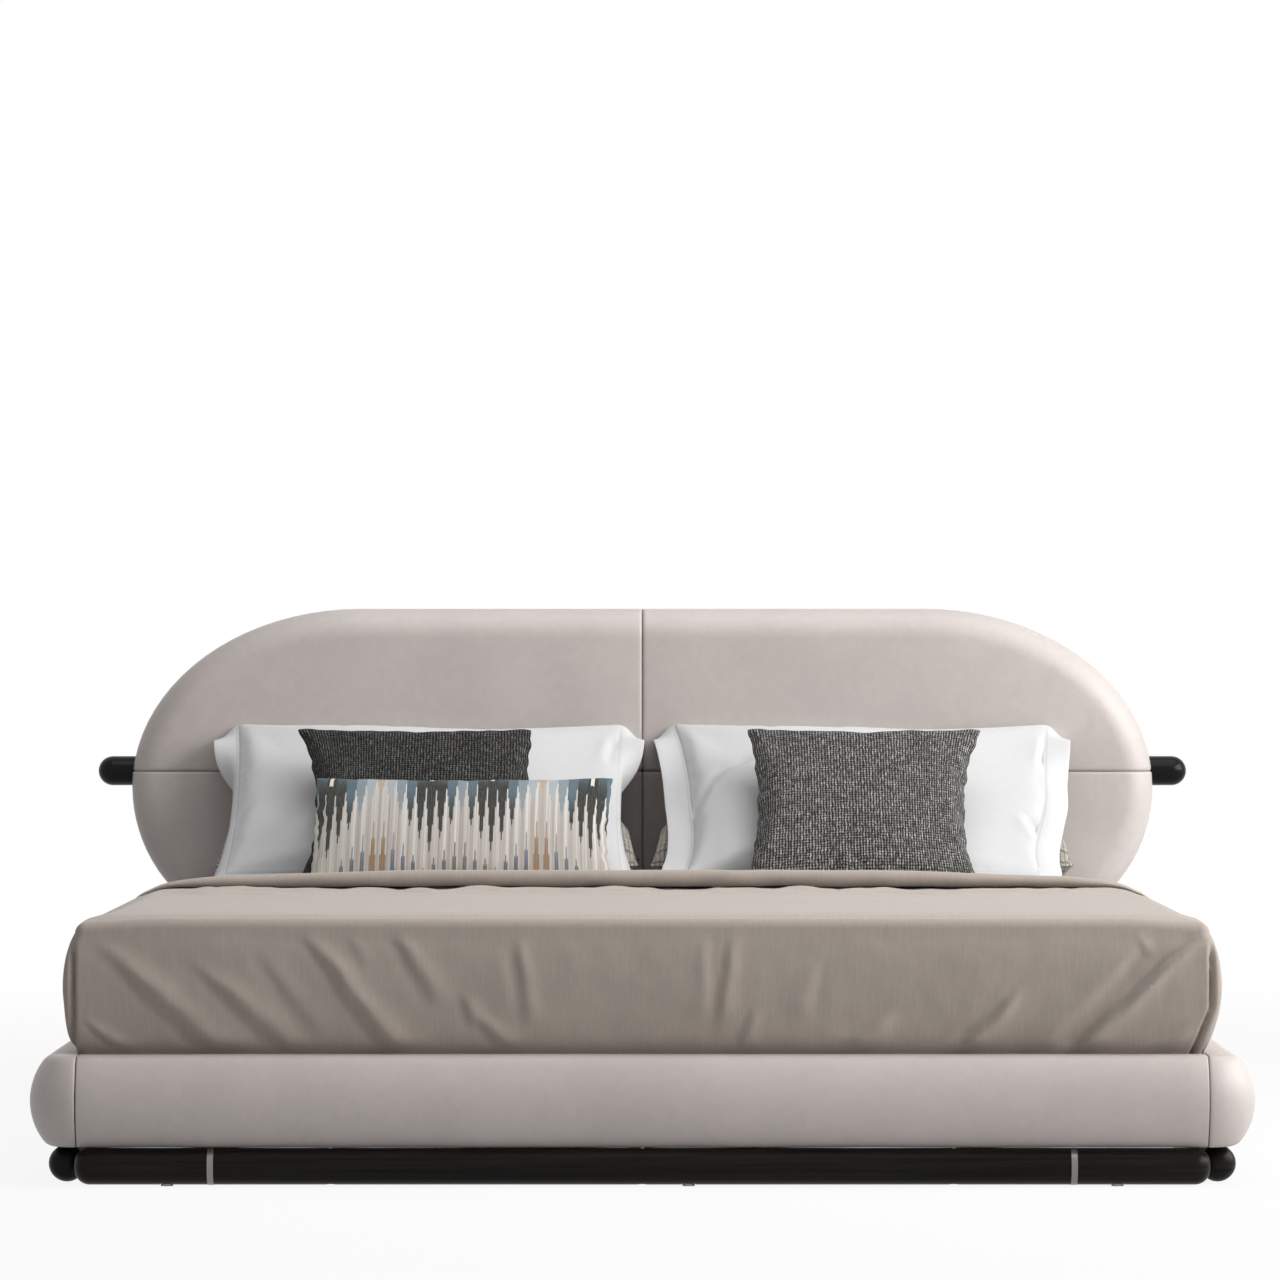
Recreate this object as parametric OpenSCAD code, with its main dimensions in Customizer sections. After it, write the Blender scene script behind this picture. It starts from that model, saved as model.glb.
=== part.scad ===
// Double bed with leather rails, a leather headboard, a round wood base and its bedding.
// X runs across the bed, +Y from the foot to the head, +Z up. The origin is on the floor,
// under the middle of the bed. Sizes are in millimetres. Inside the modules Y is counted
// from the face of the foot rail, and from_foot() moves the result into the bed's own frame.

/* [Mattress] */
// Width of the mattress
mattress_w = 1800; // [1600:10:2000]
// Length of the mattress
mattress_l = 2000; // [1900:10:2200]
// Height of the mattress
mattress_h = 280; // [230:5:320]
// Radius of the mattress's edges and upright corners
mattress_r = 30; // [15:1:40]
// How deep the mattress sits down inside the rails
mattress_sink = 66; // [50:1:72]
// Space between the mattress and each rail
rail_gap = 15.5; // [13:0.5:20]
// Space between the mattress and the headboard
head_gap = 5; // [3:0.5:10]

/* [Rails] */
// Height of the padded rails
rail_h = 150; // [140:1:180]
// Thickness of the padded rails
rail_t = 80; // [74:1:95]
// How far the rail's face bulges out past its rounded edges
rail_bulge = 17; // [8:1:22]
// Radius of the rail's padded top and bottom edges
rail_edge_r = 25; // [15:1:28]
// Thickness of the timber core in the rails
core_t = 52; // [46:1:58]
// Height of the timber core in the rails
core_h = 110; // [104:1:118]
// Thickness of the head rail with its cover
head_rail_t = 40; // [34:1:50]
// Thickness of the cloth cover round the head rail
head_rail_cover_t = 3; // [2:0.5:4]

/* [Round wood base] */
// Diameter of the round logs
log_d = 60; // [54:1:70]
// Depth of the flat planed on top of a log where a rail sits
log_flat = 1; // [0.5:0.5:3]
// Radius of the rounding at a log's ends
log_end_r = 25; // [10:1:27]
// How far the log under the foot rail reaches past each end of the rail
log_past_rail = 3.5; // [0:0.5:10]
// Distance from the rail's face to the axis of the log under the foot rail
foot_log_in = 40; // [36:1:44]
// Distance from the rail's inner face to the axis of the log under a side rail
side_log_out = 20.5; // [16:0.5:26]
// Distance from the back of the head rail to the axis of the log under it
head_log_in = 26; // [20:1:28]
// Space between the ends of the side logs and the logs across the bed
log_gap = 5.5; // [3:0.5:12]
// Distance from a steel ring to the nearer end of its log
ring_in = 221; // [120:1:400]
// Width of a steel ring
ring_w = 10; // [6:1:14]
// How far a steel ring stands proud of the log
ring_proud = 0.6; // [0.2:0.1:1.5]
// Diameter of the turned spigot that joins the log's sections
spigot_d = 30; // [22:1:36]
// Length of the spigot past the ring
spigot_len = 40; // [25:1:60]
// Height of the floor glides under the logs
glide_h = 2; // [1.5:0.5:6]
// Depth to which a floor glide is let into its log
glide_in = 2; // [1:0.5:3]
// Diameter of the floor glides
glide_d = 20; // [16:1:21]

/* [Slats and middle beam] */
// Number of slats in each of the two rows
slat_count = 14; // [10:1:16]
// Width of a slat
slat_w = 68; // [50:1:75]
// Thickness of a slat
slat_t = 8; // [6:0.5:9]
// Height of the slats' bow
slat_bow = 10; // [4:1:14]
// Length of a slat's plastic cap
cap_len = 45; // [36:1:50]
// Wall of a slat's plastic cap
cap_wall = 3; // [2:0.5:4]
// Height of the ledgers that carry the slats
ledger_h = 40; // [30:1:44]
// Height of the middle beam
beam_h = 40; // [30:1:44]
// Wall of the middle beam's steel tube
beam_wall = 2.5; // [2:0.5:4]
// Diameter of the legs under the middle beam
leg_d = 40; // [30:1:50]
// Thickness of the steel brackets and plates
plate_t = 4; // [3:0.5:5]

/* [Headboard] */
// How far the headboard reaches past the inner face of each side rail
headboard_past = 75.5; // [30:0.5:110]
// Width of each rounded shoulder of the headboard
shoulder_w = 443; // [350:1:560]
// Height of the headboard's top above the floor
headboard_top = 947; // [860:1:1100]
// Height at which the headboard is widest
headboard_waist = 602; // [560:1:620]
// Radius of the headboard's lower corners
headboard_low_r = 290; // [220:1:300]
// Thickness of the headboard's front pads
pad_t = 42; // [34:1:50]
// Thickness of the padding round the headboard's edge
pad_edge_t = 15; // [12:1:20]
// Radius of the pads' outer front edge
pad_r = 55; // [40:1:58]
// Radius of the pads' edges along the seams
seam_r = 6; // [3:1:10]
// Thickness of the headboard's front board
front_board_t = 15; // [12:1:18]
// Thickness of the headboard's back board
back_board_t = 12; // [9:1:15]
// Thickness of the headboard's back cover
back_cover_t = 3; // [2:0.5:4]
// Diameter of the bar through the headboard
bar_d = 57; // [50:1:64]
// How far the bar sticks out at each side of the headboard
bar_out = 68; // [45:1:120]
// Height of the bar and of the level seam above the floor
bar_z = 632; // [622:1:645]
// Width of the headboard frame's timber ribs
rib_w = 40; // [34:1:50]
// Thickness of the struts behind the headboard
strut_t = 20; // [18:1:28]
// Width of the struts behind the headboard
strut_w = 90; // [70:1:110]
// Half the distance between the struts
strut_at = 450; // [350:1:600]
// Distance from a strut to the rib nearer the headboard's side
rib_out = 270; // [200:5:320]

/* [Bedspread] */
// Thickness of the bedspread and sheets on top of the mattress
spread_t = 13; // [8:1:18]
// How far the bedspread bulges out beside the mattress
spread_bulge = 23; // [10:1:34]
// Radius of the bedspread's top edge
spread_edge_r = 25; // [18:1:30]
// Depth of the bedspread's drag folds
fold_depth = 7; // [0:1:9]
// Distance between the bedspread's drag folds
fold_pitch = 262; // [180:1:400]
// How far a fold runs inwards for each millimetre that it runs down
fold_slant = 0.55; // [0:0.05:1]
// How far the bedspread is tucked down behind the rails
tuck_depth = 31; // [15:1:34]
// Distance from the foot of the bed to the hem of the turned down part
hem_at = 1250; // [1100:5:1300]
// Length of the turned down part
turn_len = 95; // [60:5:100]
// Thickness of the turned down part on top of the bed
turn_t = 30; // [16:1:36]
// Thickness of the turned down part at the sides
turn_side_t = 16; // [10:1:22]

/* [Pillows and cushions] */
// Width of a white pillow with its border
white_w = 828; // [700:2:830]
// Height of a white pillow with its border
white_h = 576; // [520:2:590]
// Thickness of a white pillow
white_t = 64; // [50:1:70]
// Width of a white pillow's flat border
border_w = 45; // [25:1:60]
// Width of a tweed pillow
tweed_w = 800; // [700:2:800]
// Depth of a tweed pillow
tweed_l = 328; // [300:2:334]
// Thickness of a tweed pillow at its ends
tweed_t = 150; // [100:1:155]
// Thickness of a tweed pillow in the middle, where a white pillow presses it
tweed_mid_t = 61; // [50:1:64]
// Side of a grey cushion
grey_w = 450; // [380:2:500]
// Thickness of a grey cushion
grey_t = 84; // [60:1:90]
// Width of the long cushion
lumbar_w = 550; // [450:2:600]
// Height of the long cushion
lumbar_h = 350; // [300:2:360]
// Thickness of the long cushion
lumbar_t = 62; // [50:1:70]

/* [Fits] */
// Space left round a bolt in its hole
bolt_clear = 0.3; // [0.2:0.1:0.5]
// Space between a soft piece and what it rests on
soft_clear = 0.3; // [0.2:0.1:0.8]
// Space round the bar in the headboard
bar_clear = 0.15; // [0.1:0.05:0.5]
// Space round a slat's end in its cap
cap_clear = 0.2; // [0.1:0.1:0.5]

/* [Hidden] */
$fn = 48;

// Colours
leather = [0.74, 0.70, 0.67];
leather_dark = [0.45, 0.43, 0.41];
dark_wood = [0.11, 0.10, 0.09];
pale_wood = [0.80, 0.68, 0.50];
steel = [0.62, 0.62, 0.61];
black_steel = [0.16, 0.16, 0.17];
nylon = [0.20, 0.20, 0.20];
linen = [0.56, 0.52, 0.47];
cotton = [0.88, 0.88, 0.88];
tweed = [0.78, 0.74, 0.66];
grey_wool = [0.36, 0.35, 0.33];
flame_cloth = [0.66, 0.61, 0.55];

// Main places. Lengths along Y start at the face of the foot rail.
cavity_t = bar_d + 1;
headboard_t = pad_t + front_board_t + cavity_t + back_board_t + back_cover_t;
mattress_y = rail_t + rail_gap;
headboard_y = mattress_y + mattress_l + head_gap;
frame_end_y = headboard_y + headboard_t;
bed_len = frame_end_y + strut_t;
rail_in_x = mattress_w / 2 + rail_gap;
foot_log_len = 2 * (rail_in_x + log_past_rail);
ring_at = foot_log_len / 2 - ring_in;
headboard_w = 2 * (rail_in_x + headboard_past);
bar_len = headboard_w + 2 * bar_out;
log_r = log_d / 2;
log_z = glide_h + log_r;
rail_z = log_z + log_r - log_flat;
rail_top_z = rail_z + rail_h;
rail_mid_z = rail_z + rail_h / 2;
core_z = rail_mid_z - core_h / 2;
deck_z = rail_top_z - mattress_sink;
mattress_top_z = deck_z + mattress_h;
head_rail_y = frame_end_y - head_rail_t;

// The face of a rail is an arc that meets the arcs of its edges smoothly
edge_dz = rail_h / 2 - rail_edge_r;
edge_x = rail_t - rail_bulge - rail_edge_r;
face_to_edge = (pow(rail_bulge, 2) + pow(edge_dz, 2)) / (2 * rail_bulge);
rail_face_r = face_to_edge + rail_edge_r;

// Bolts: shank radius, head radius and head height
m8 = [4, 7, 4.4];
m6 = [3, 6, 3];
bolt_bite = 28;

module from_foot() {
    translate([0, -bed_len / 2, 0]) children();
}

module both_sides() {
    children();
    mirror([1, 0, 0]) children();
}

// A bolt along +Z whose head's underside is at the origin and whose shank points down
module bolt(size, shank) {
    cylinder(r = size[1], h = size[2]);
    translate([0, 0, -shank]) cylinder(r = size[0], h = shank + 0.01);
}

// The hole for that bolt, with a recess for its head when recess is more than 0
module bolt_hole(size, shank, recess = 0) {
    translate([0, 0, -shank]) cylinder(r = size[0] + bolt_clear, h = shank + 1);
    if (recess > 0) cylinder(r = size[1] + 2, h = recess);
}

// Rails

module rail_profile() {
    translate([0, -rail_h / 2]) square([edge_x, rail_h]);
    translate([0, -edge_dz]) square([edge_x + rail_edge_r / 2, 2 * edge_dz]);
    for (side = [-1, 1]) translate([edge_x, side * edge_dz]) circle(r = rail_edge_r);
    intersection() {
        translate([rail_t - rail_face_r, 0]) circle(r = rail_face_r, $fn = 96);
        polygon([
            [edge_x, -edge_dz],
            [edge_x, edge_dz],
            edge_ray(1),
            edge_ray(-1)
        ]);
    }
}

// A point well outside the rail on the line from the face arc's centre through an edge's centre
function edge_ray(side) = let (cx = rail_t - rail_face_r, reach = 2.2)
    [cx + reach * (edge_x - cx), side * reach * edge_dz];

// The rail's section stands upright, with its inner face at X = 0 and its length along -Y
module rail_bar(len) {
    translate([0, 0, rail_mid_z]) rotate([90, 0, 0]) linear_extrude(len) rail_profile();
}

// The foot rail runs along X with its face towards the foot
module foot_rail_solid() {
    translate([-rail_in_x, rail_t, 0]) rotate([0, 0, -90]) rail_bar_y(2 * rail_in_x);
}

module rail_bar_y(len) {
    translate([0, len, 0]) rail_bar(len);
}

module core_block(x, y, w, l) {
    translate([x, y, core_z]) cube([w, l, core_h]);
}

module foot_core_block() {
    core_block(-rail_in_x, rail_t - core_t, 2 * rail_in_x, core_t);
}

// Straight length of the side rails, and how far their cores run on into the round head end
side_straight = frame_end_y - 2 * rail_t;
core_past_turn = 22;

module side_core_block() {
    core_block(rail_in_x, rail_t, core_t, side_straight + core_past_turn);
}

// Corner brackets: one plate on the side rail, one on the rail across the bed
bracket_leg = 46;
bracket_z = core_z + 5;
bracket_h = 86;
bracket_bolt_in = 30;
bracket_bolt_low = 20;
bracket_bolt_high = 66;
bracket_bolt_z = [bracket_z + bracket_bolt_low, bracket_z + bracket_bolt_high];

module corner_bracket() {
    cube([plate_t, bracket_leg, bracket_h]);
    cube([bracket_leg, plate_t, bracket_h]);
}

// Puts a bracket, drawn in the corner of the X and Y axes, into the four inner corners
module at_corners() {
    both_sides() {
        translate([rail_in_x, rail_t, 0]) mirror([1, 0, 0]) children();
        translate([rail_in_x, head_rail_y, 0]) mirror([1, 0, 0]) mirror([0, 1, 0]) children();
    }
}

module corner_bolt_places() {
    for (z = bracket_bolt_z) {
        translate([plate_t, bracket_bolt_in, z]) rotate([0, 90, 0]) children();
        translate([bracket_bolt_in, plate_t, z]) rotate([-90, 0, 0]) children();
    }
}

module corner_bolt_holes() {
    at_corners() corner_bolt_places() bolt_hole(m8, plate_t + bolt_bite + 2);
}

// Log bolts come up from under the logs into the timber cores
log_bolt_head_in = 12;
log_bolt_len = core_z + 30 - (glide_h + log_bolt_head_in + m8[2]);
foot_log_y = foot_log_in;
head_log_y = frame_end_y - head_log_in;
side_log_x = rail_in_x + side_log_out;
side_log_y0 = foot_log_y + log_r + log_gap;
side_log_y1 = head_log_y - log_r - log_gap;
side_log_len = side_log_y1 - side_log_y0;
cross_bolt_x = mattress_w * 0.28;
side_bolt_y = [
    side_log_y0 + side_log_len * 0.12,
    side_log_y0 + side_log_len * 0.5,
    side_log_y1 - side_log_len * 0.12
];

module at_log_bolts() {
    z = glide_h + log_bolt_head_in + m8[2];
    for (x = [-cross_bolt_x, 0, cross_bolt_x]) {
        translate([x, foot_log_y, z]) mirror([0, 0, 1]) children();
        translate([x, head_log_y, z]) mirror([0, 0, 1]) children();
    }
    both_sides() for (y = side_bolt_y) translate([side_log_x, y, z]) mirror([0, 0, 1]) children();
}

module log_bolt_holes() {
    at_log_bolts() {
        translate([0, 0, -log_bolt_len - 2]) cylinder(r = m8[0] + bolt_clear, h = log_bolt_len + 3);
        cylinder(r = m8[1] + 2, h = log_bolt_head_in + m8[2] + glide_h);
    }
}

module foot_rail_core() {
    color(pale_wood) from_foot() difference() {
        foot_core_block();
        corner_bolt_holes();
        log_bolt_holes();
        hanger_bolt_holes();
    }
}

module foot_rail_cover() {
    color(leather) from_foot() difference() {
        foot_rail_solid();
        foot_core_block();
        log_bolt_holes();
    }
}

module side_rail_core_right() {
    color(pale_wood) from_foot() difference() {
        side_core_block();
        corner_bolt_holes();
        log_bolt_holes();
        ledger_screw_holes();
    }
}

module side_rail_core_left() {
    mirror([1, 0, 0]) side_rail_core_right();
}

// Both ends of a side rail are its own section turned through a quarter circle
module side_rail_cover_right() {
    color(leather) from_foot() difference() {
        union() {
            translate([rail_in_x, rail_t + side_straight, 0]) rail_bar(side_straight);
            translate([rail_in_x, rail_t, rail_mid_z]) rotate([0, 0, -90])
                rotate_extrude(angle = 90, $fn = 96) rail_profile();
            translate([rail_in_x, rail_t + side_straight, rail_mid_z])
                rotate_extrude(angle = 90, $fn = 96) rail_profile();
        }
        side_core_block();
        log_bolt_holes();
    }
}

module side_rail_cover_left() {
    mirror([1, 0, 0]) side_rail_cover_right();
}

head_core_t = head_rail_t - head_rail_cover_t;

module head_rail_core() {
    color(pale_wood) from_foot() difference() {
        translate([-rail_in_x, head_rail_y, rail_z + head_rail_cover_t])
            cube([2 * rail_in_x, head_core_t, rail_h - 2 * head_rail_cover_t]);
        corner_bolt_holes();
        log_bolt_holes();
        hanger_bolt_holes();
        strut_bolt_holes();
    }
}

module head_rail_cover() {
    color(leather_dark) from_foot() difference() {
        translate([-rail_in_x, head_rail_y, rail_z]) cube([2 * rail_in_x, head_rail_t, rail_h]);
        translate([-rail_in_x - 1, head_rail_y - 1, rail_z + head_rail_cover_t])
            cube([2 * rail_in_x + 2, head_core_t + 1, rail_h - 2 * head_rail_cover_t]);
        log_bolt_holes();
        strut_bolt_holes();
    }
}

module corner_brackets() {
    color(black_steel) from_foot() difference() {
        at_corners() translate([0, 0, bracket_z]) corner_bracket();
        corner_bolt_holes();
    }
}

module corner_bolts() {
    color(steel) from_foot() at_corners() corner_bolt_places() bolt(m8, plate_t + bolt_bite);
}

// Slats, their ledgers and the middle beam

slat_top_z = deck_z - soft_clear;
slat_end_z = slat_top_z - slat_bow - slat_t;
ledger_top_z = slat_end_z - cap_clear - cap_wall;
slat_end_gap = cap_wall + cap_clear;
slat_len = rail_in_x - 2 * slat_end_gap;
slat_dip = slat_bow * (1 - pow(1 - 2 * cap_len / slat_len, 2));
cap_h = 2 * cap_wall + slat_t + slat_dip + 2 * cap_clear;
cap_w = slat_w + 2 * (cap_wall + cap_clear);
slat_pitch = mattress_l / slat_count;
ledger_y0 = rail_t + bracket_leg + 3;
ledger_len = head_rail_y - bracket_leg - 3 - ledger_y0;
ledger_screws_count = 6;
screw_len = cap_len + 25;
ledger_screw_pitch = ledger_len / ledger_screws_count;
beam_w = 2 * cap_len;
leg_places = [0.2, 0.5, 0.8];
leg_plate_w = 90;
leg_wall = 2;
leg_foot_in = 9;
leg_glide_wall = 2.5;
leg_glide_clear = 0.1;
beam_bottom_z = ledger_top_z - beam_h;
hanger_reach = 42;
hanger_back_w = beam_w + 70;
hanger_back_h = beam_h + 24;
hanger_bolt_x = beam_w / 2 + 20;

function slat_y(i) = mattress_y + (i + 0.5) * slat_pitch;
function slat_height(x) = slat_bow * (1 - pow(2 * x / slat_len - 1, 2));

module slat_row() {
    steps = 12;
    xs = [for (i = [0 : steps]) slat_len * i / steps];
    section = concat(
        [for (i = [0 : steps]) [xs[i], slat_height(xs[i])]],
        [for (i = [steps : -1 : 0]) [xs[i], slat_height(xs[i]) + slat_t]]
    );
    for (i = [0 : slat_count - 1])
        translate([slat_end_gap, slat_y(i) + slat_w / 2, slat_end_z])
            rotate([90, 0, 0]) linear_extrude(slat_w) polygon(section);
}

// A cap open towards +X, its closed end at X = 0 and its underside at Z = 0
module slat_cap() {
    difference() {
        translate([0, -cap_w / 2, 0]) cube([cap_len, cap_w, cap_h]);
        translate([cap_wall, -cap_w / 2 + cap_wall, cap_wall])
            cube([cap_len, cap_w - 2 * cap_wall, cap_h - 2 * cap_wall]);
    }
}

module slat_cap_row() {
    for (i = [0 : slat_count - 1]) {
        translate([0, slat_y(i), ledger_top_z]) slat_cap();
        translate([rail_in_x, slat_y(i), ledger_top_z]) mirror([1, 0, 0]) slat_cap();
    }
}

module slats_right() {
    color(pale_wood) from_foot() slat_row();
}

module slats_left() {
    mirror([1, 0, 0]) slats_right();
}

module slat_caps_right() {
    color(nylon) from_foot() slat_cap_row();
}

module slat_caps_left() {
    mirror([1, 0, 0]) slat_caps_right();
}

module at_ledger_screws() {
    for (i = [0 : ledger_screws_count - 1])
        translate([
            rail_in_x - cap_len,
            ledger_y0 + (i + 0.5) * ledger_screw_pitch,
            ledger_top_z - ledger_h / 2
        ]) rotate([0, -90, 0]) children();
}

module ledger_screw_holes() {
    at_ledger_screws() bolt_hole(m6, screw_len + 1);
}

module slat_ledger_right() {
    color(pale_wood) from_foot() difference() {
        translate([rail_in_x - cap_len, ledger_y0, ledger_top_z - ledger_h])
            cube([cap_len, ledger_len, ledger_h]);
        ledger_screw_holes();
    }
}

module slat_ledger_left() {
    mirror([1, 0, 0]) slat_ledger_right();
}

module ledger_screws() {
    color(steel) both_sides() from_foot() at_ledger_screws() bolt(m6, screw_len);
}

// A hanger cradles one end of the beam; its back plate lies against Y = 0
module beam_hanger() {
    wall_x = beam_w / 2 + cap_clear;
    translate([-hanger_back_w / 2, 0, beam_bottom_z - plate_t])
        cube([hanger_back_w, plate_t, hanger_back_h]);
    translate([-wall_x - plate_t, 0, beam_bottom_z - plate_t])
        cube([2 * (wall_x + plate_t), hanger_reach, plate_t]);
    for (x = [-wall_x - plate_t, wall_x])
        translate([x, 0, beam_bottom_z - plate_t]) cube([plate_t, hanger_reach, beam_h * 0.8]);
}

module at_hangers() {
    translate([0, rail_t, 0]) children();
    translate([0, head_rail_y, 0]) mirror([0, 1, 0]) children();
}

module at_hanger_bolts() {
    at_hangers() both_sides()
        for (z = [beam_bottom_z + beam_h * 0.2, beam_bottom_z + beam_h * 0.9 + 6])
            translate([hanger_bolt_x, plate_t, z]) rotate([-90, 0, 0]) children();
}

module hanger_bolt_holes() {
    at_hanger_bolts() bolt_hole(m6, plate_t + bolt_bite + 2);
}

module beam_hangers() {
    color(black_steel) from_foot() difference() {
        at_hangers() beam_hanger();
        hanger_bolt_holes();
    }
}

module hanger_bolts() {
    color(steel) from_foot() at_hanger_bolts() bolt(m6, plate_t + bolt_bite);
}

beam_y0 = rail_t + plate_t;
beam_len = head_rail_y - plate_t - beam_y0;

module middle_beam() {
    color(black_steel) from_foot() difference() {
        translate([-beam_w / 2, beam_y0, beam_bottom_z]) cube([beam_w, beam_len, beam_h]);
        translate([-beam_w / 2 + beam_wall, beam_y0 - 1, beam_bottom_z + beam_wall])
            cube([beam_w - 2 * beam_wall, beam_len + 2, beam_h - 2 * beam_wall]);
        leg_screw_holes();
    }
}

module at_legs() {
    for (share = leg_places) translate([0, beam_y0 + share * beam_len, 0]) children();
}

module at_leg_screws() {
    for (x = [-1, 1], y = [-1, 1])
        translate([x * leg_plate_w * 0.36, y * leg_plate_w * 0.36, beam_bottom_z - plate_t])
            mirror([0, 0, 1]) children();
}

module leg_screw_holes() {
    at_legs() at_leg_screws() bolt_hole(m6, plate_t + beam_wall + 8);
}

leg_top_z = beam_bottom_z - plate_t;
leg_bottom_z = glide_h;

module middle_legs() {
    color(black_steel) from_foot() difference() {
        at_legs() {
            translate([-leg_plate_w / 2, -leg_plate_w / 2, leg_top_z])
                cube([leg_plate_w, leg_plate_w, plate_t]);
            difference() {
                translate([0, 0, leg_bottom_z]) cylinder(d = leg_d, h = leg_top_z - leg_bottom_z);
                translate([0, 0, leg_bottom_z - 1])
                    cylinder(d = leg_d - 2 * leg_wall, h = leg_top_z - leg_bottom_z + 1);
            }
        }
        leg_screw_holes();
    }
}

module leg_screws() {
    color(steel) from_foot() at_legs() at_leg_screws() bolt(m6, plate_t + beam_wall + 5);
}

module leg_glides() {
    color(nylon) from_foot() at_legs() difference() {
        cylinder(d = leg_d + 2 * leg_glide_wall, h = glide_h + leg_foot_in);
        translate([0, 0, glide_h]) cylinder(d = leg_d + 2 * leg_glide_clear, h = leg_foot_in + 1);
    }
}

// Round wood base. A log is turned about its own axis and lies along +Z from 0 to len.

// Half a log along +Z, its far end rounded by a quarter ring
module log_with_round_end(len) {
    cylinder(r = log_r, h = len - log_end_r, $fn = 96);
    cylinder(r = log_r - log_end_r, h = len, $fn = 96);
    translate([0, 0, len - log_end_r]) rotate_extrude($fn = 96)
        translate([log_r - log_end_r, 0]) intersection() {
            circle(r = log_end_r);
            square(log_end_r);
        }
}

module round_log(len) {
    translate([0, 0, len / 2]) both_ends() log_with_round_end(len / 2);
}

module both_ends() {
    children();
    mirror([0, 0, 1]) children();
}

// Cuts the flat on which the rail sits, along the whole of a log
module rail_seat_cut() {
    reach = bed_len + mattress_w;
    translate([-reach / 2, -reach / 4, rail_z]) cube([reach, reach * 1.5, log_d]);
}

// Floor glides are let into flats planed on the logs' undersides
glide_end_in = 150;
glide_places_cross = [
    [-foot_log_len / 2 + glide_end_in, 0], [0, 0], [foot_log_len / 2 - glide_end_in, 0]
];
head_log_len = foot_log_len;

module at_glides() {
    for (place = glide_places_cross, y = [foot_log_y, head_log_y])
        translate([place[0] + (place[0] == 0 ? glide_end_in / 2 : 0), y, 0]) children();
    both_sides() for (share = [0.08, 0.38, 0.62, 0.92])
        translate([side_log_x, side_log_y0 + share * side_log_len, 0]) children();
}

module glide_flats() {
    at_glides() translate([-glide_d / 2 - 1, -glide_d / 2 - 1, 0])
        cube([glide_d + 2, glide_d + 2, glide_h + glide_in]);
}

module log_cuts() {
    rail_seat_cut();
    glide_flats();
    log_bolt_holes();
}

module along_x() {
    rotate([0, 90, 0]) children();
}

module at_foot_log() {
    translate([0, foot_log_y, log_z]) children();
}

ring_inner_x = ring_at - ring_w / 2;
ring_outer_x = ring_at + ring_w / 2;

module foot_log_middle() {
    color(dark_wood) from_foot() difference() {
        at_foot_log() along_x() translate([0, 0, -ring_inner_x])
            cylinder(r = log_r, h = 2 * ring_inner_x, $fn = 96);
        at_foot_log() both_sides() along_x() translate([0, 0, ring_inner_x - spigot_len - 1])
            cylinder(d = spigot_d + 2 * bolt_clear, h = spigot_len + 2);
        log_cuts();
    }
}

module foot_log_end_right() {
    color(dark_wood) from_foot() difference() {
        at_foot_log() along_x() {
            translate([0, 0, ring_outer_x]) log_with_round_end(foot_log_len / 2 - ring_outer_x);
            translate([0, 0, ring_inner_x - spigot_len])
                cylinder(d = spigot_d, h = spigot_len + ring_w + 1);
        }
        log_cuts();
    }
}

module foot_log_end_left() {
    mirror([1, 0, 0]) foot_log_end_right();
}

module foot_log_ring_right() {
    color(steel) from_foot() difference() {
        at_foot_log() along_x() translate([0, 0, ring_inner_x])
            cylinder(r = log_r + ring_proud, h = ring_w, $fn = 96);
        at_foot_log() along_x() translate([0, 0, ring_inner_x - 1])
            cylinder(d = spigot_d + 2 * bolt_clear, h = ring_w + 2);
        rail_seat_cut();
    }
}

module foot_log_ring_left() {
    mirror([1, 0, 0]) foot_log_ring_right();
}

module side_log_right() {
    color(dark_wood) from_foot() difference() {
        translate([side_log_x, side_log_y1, log_z]) rotate([90, 0, 0]) round_log(side_log_len);
        log_cuts();
    }
}

module side_log_left() {
    mirror([1, 0, 0]) side_log_right();
}

module head_log() {
    color(dark_wood) from_foot() difference() {
        translate([-head_log_len / 2, head_log_y, log_z]) along_x() round_log(head_log_len);
        log_cuts();
    }
}

module log_bolts() {
    color(steel) from_foot() at_log_bolts() bolt(m8, log_bolt_len);
}

module floor_glides() {
    color(nylon) from_foot() at_glides() cylinder(d = glide_d, h = glide_h + glide_in);
}

// Headboard. Its outline is drawn in X and Z as points with their outward normals.

headboard_half = headboard_w / 2;
flat_half = headboard_half - shoulder_w;
top_round_h = headboard_top - headboard_waist;
seam_angle = asin((bar_z - headboard_waist) / top_round_h);
pads_depth = headboard_t - back_cover_t;
pad_gap = 0.4;
top_steps = 16;
low_steps = 14;

function unit(v) = v / norm(v);
function top_curve(angle) = [
    [flat_half + shoulder_w * cos(angle), headboard_waist + top_round_h * sin(angle)],
    unit([cos(angle) / shoulder_w, sin(angle) / top_round_h])
];
function low_curve(angle) = [
    [
        headboard_half - headboard_low_r * (1 - cos(angle)),
        headboard_waist - headboard_low_r * sin(angle)
    ],
    [cos(angle), -sin(angle)]
];

// Right half of the outline, from the top seam to the level seam, and on to the bottom seam
upper_edge = concat(
    [[[0, headboard_top], [0, 1]]],
    [for (i = [0 : top_steps]) top_curve(90 - (90 - seam_angle) * i / top_steps)]
);
lower_edge = concat(
    [top_curve(seam_angle)],
    [for (i = [0 : low_steps]) low_curve(90 * i / low_steps)],
    [[[0, headboard_waist - headboard_low_r], [0, -1]]]
);

function drawn_in(edge, inset) = [for (p = edge) p[0] - inset * p[1]];

module headboard_outline(inset) {
    right = drawn_in(concat(upper_edge, [for (i = [1 : len(lower_edge) - 1]) lower_edge[i]]), inset);
    left = [for (i = [len(right) - 2 : -1 : 1]) [-right[i][0], right[i][1]]];
    polygon(concat(right, left));
}

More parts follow.
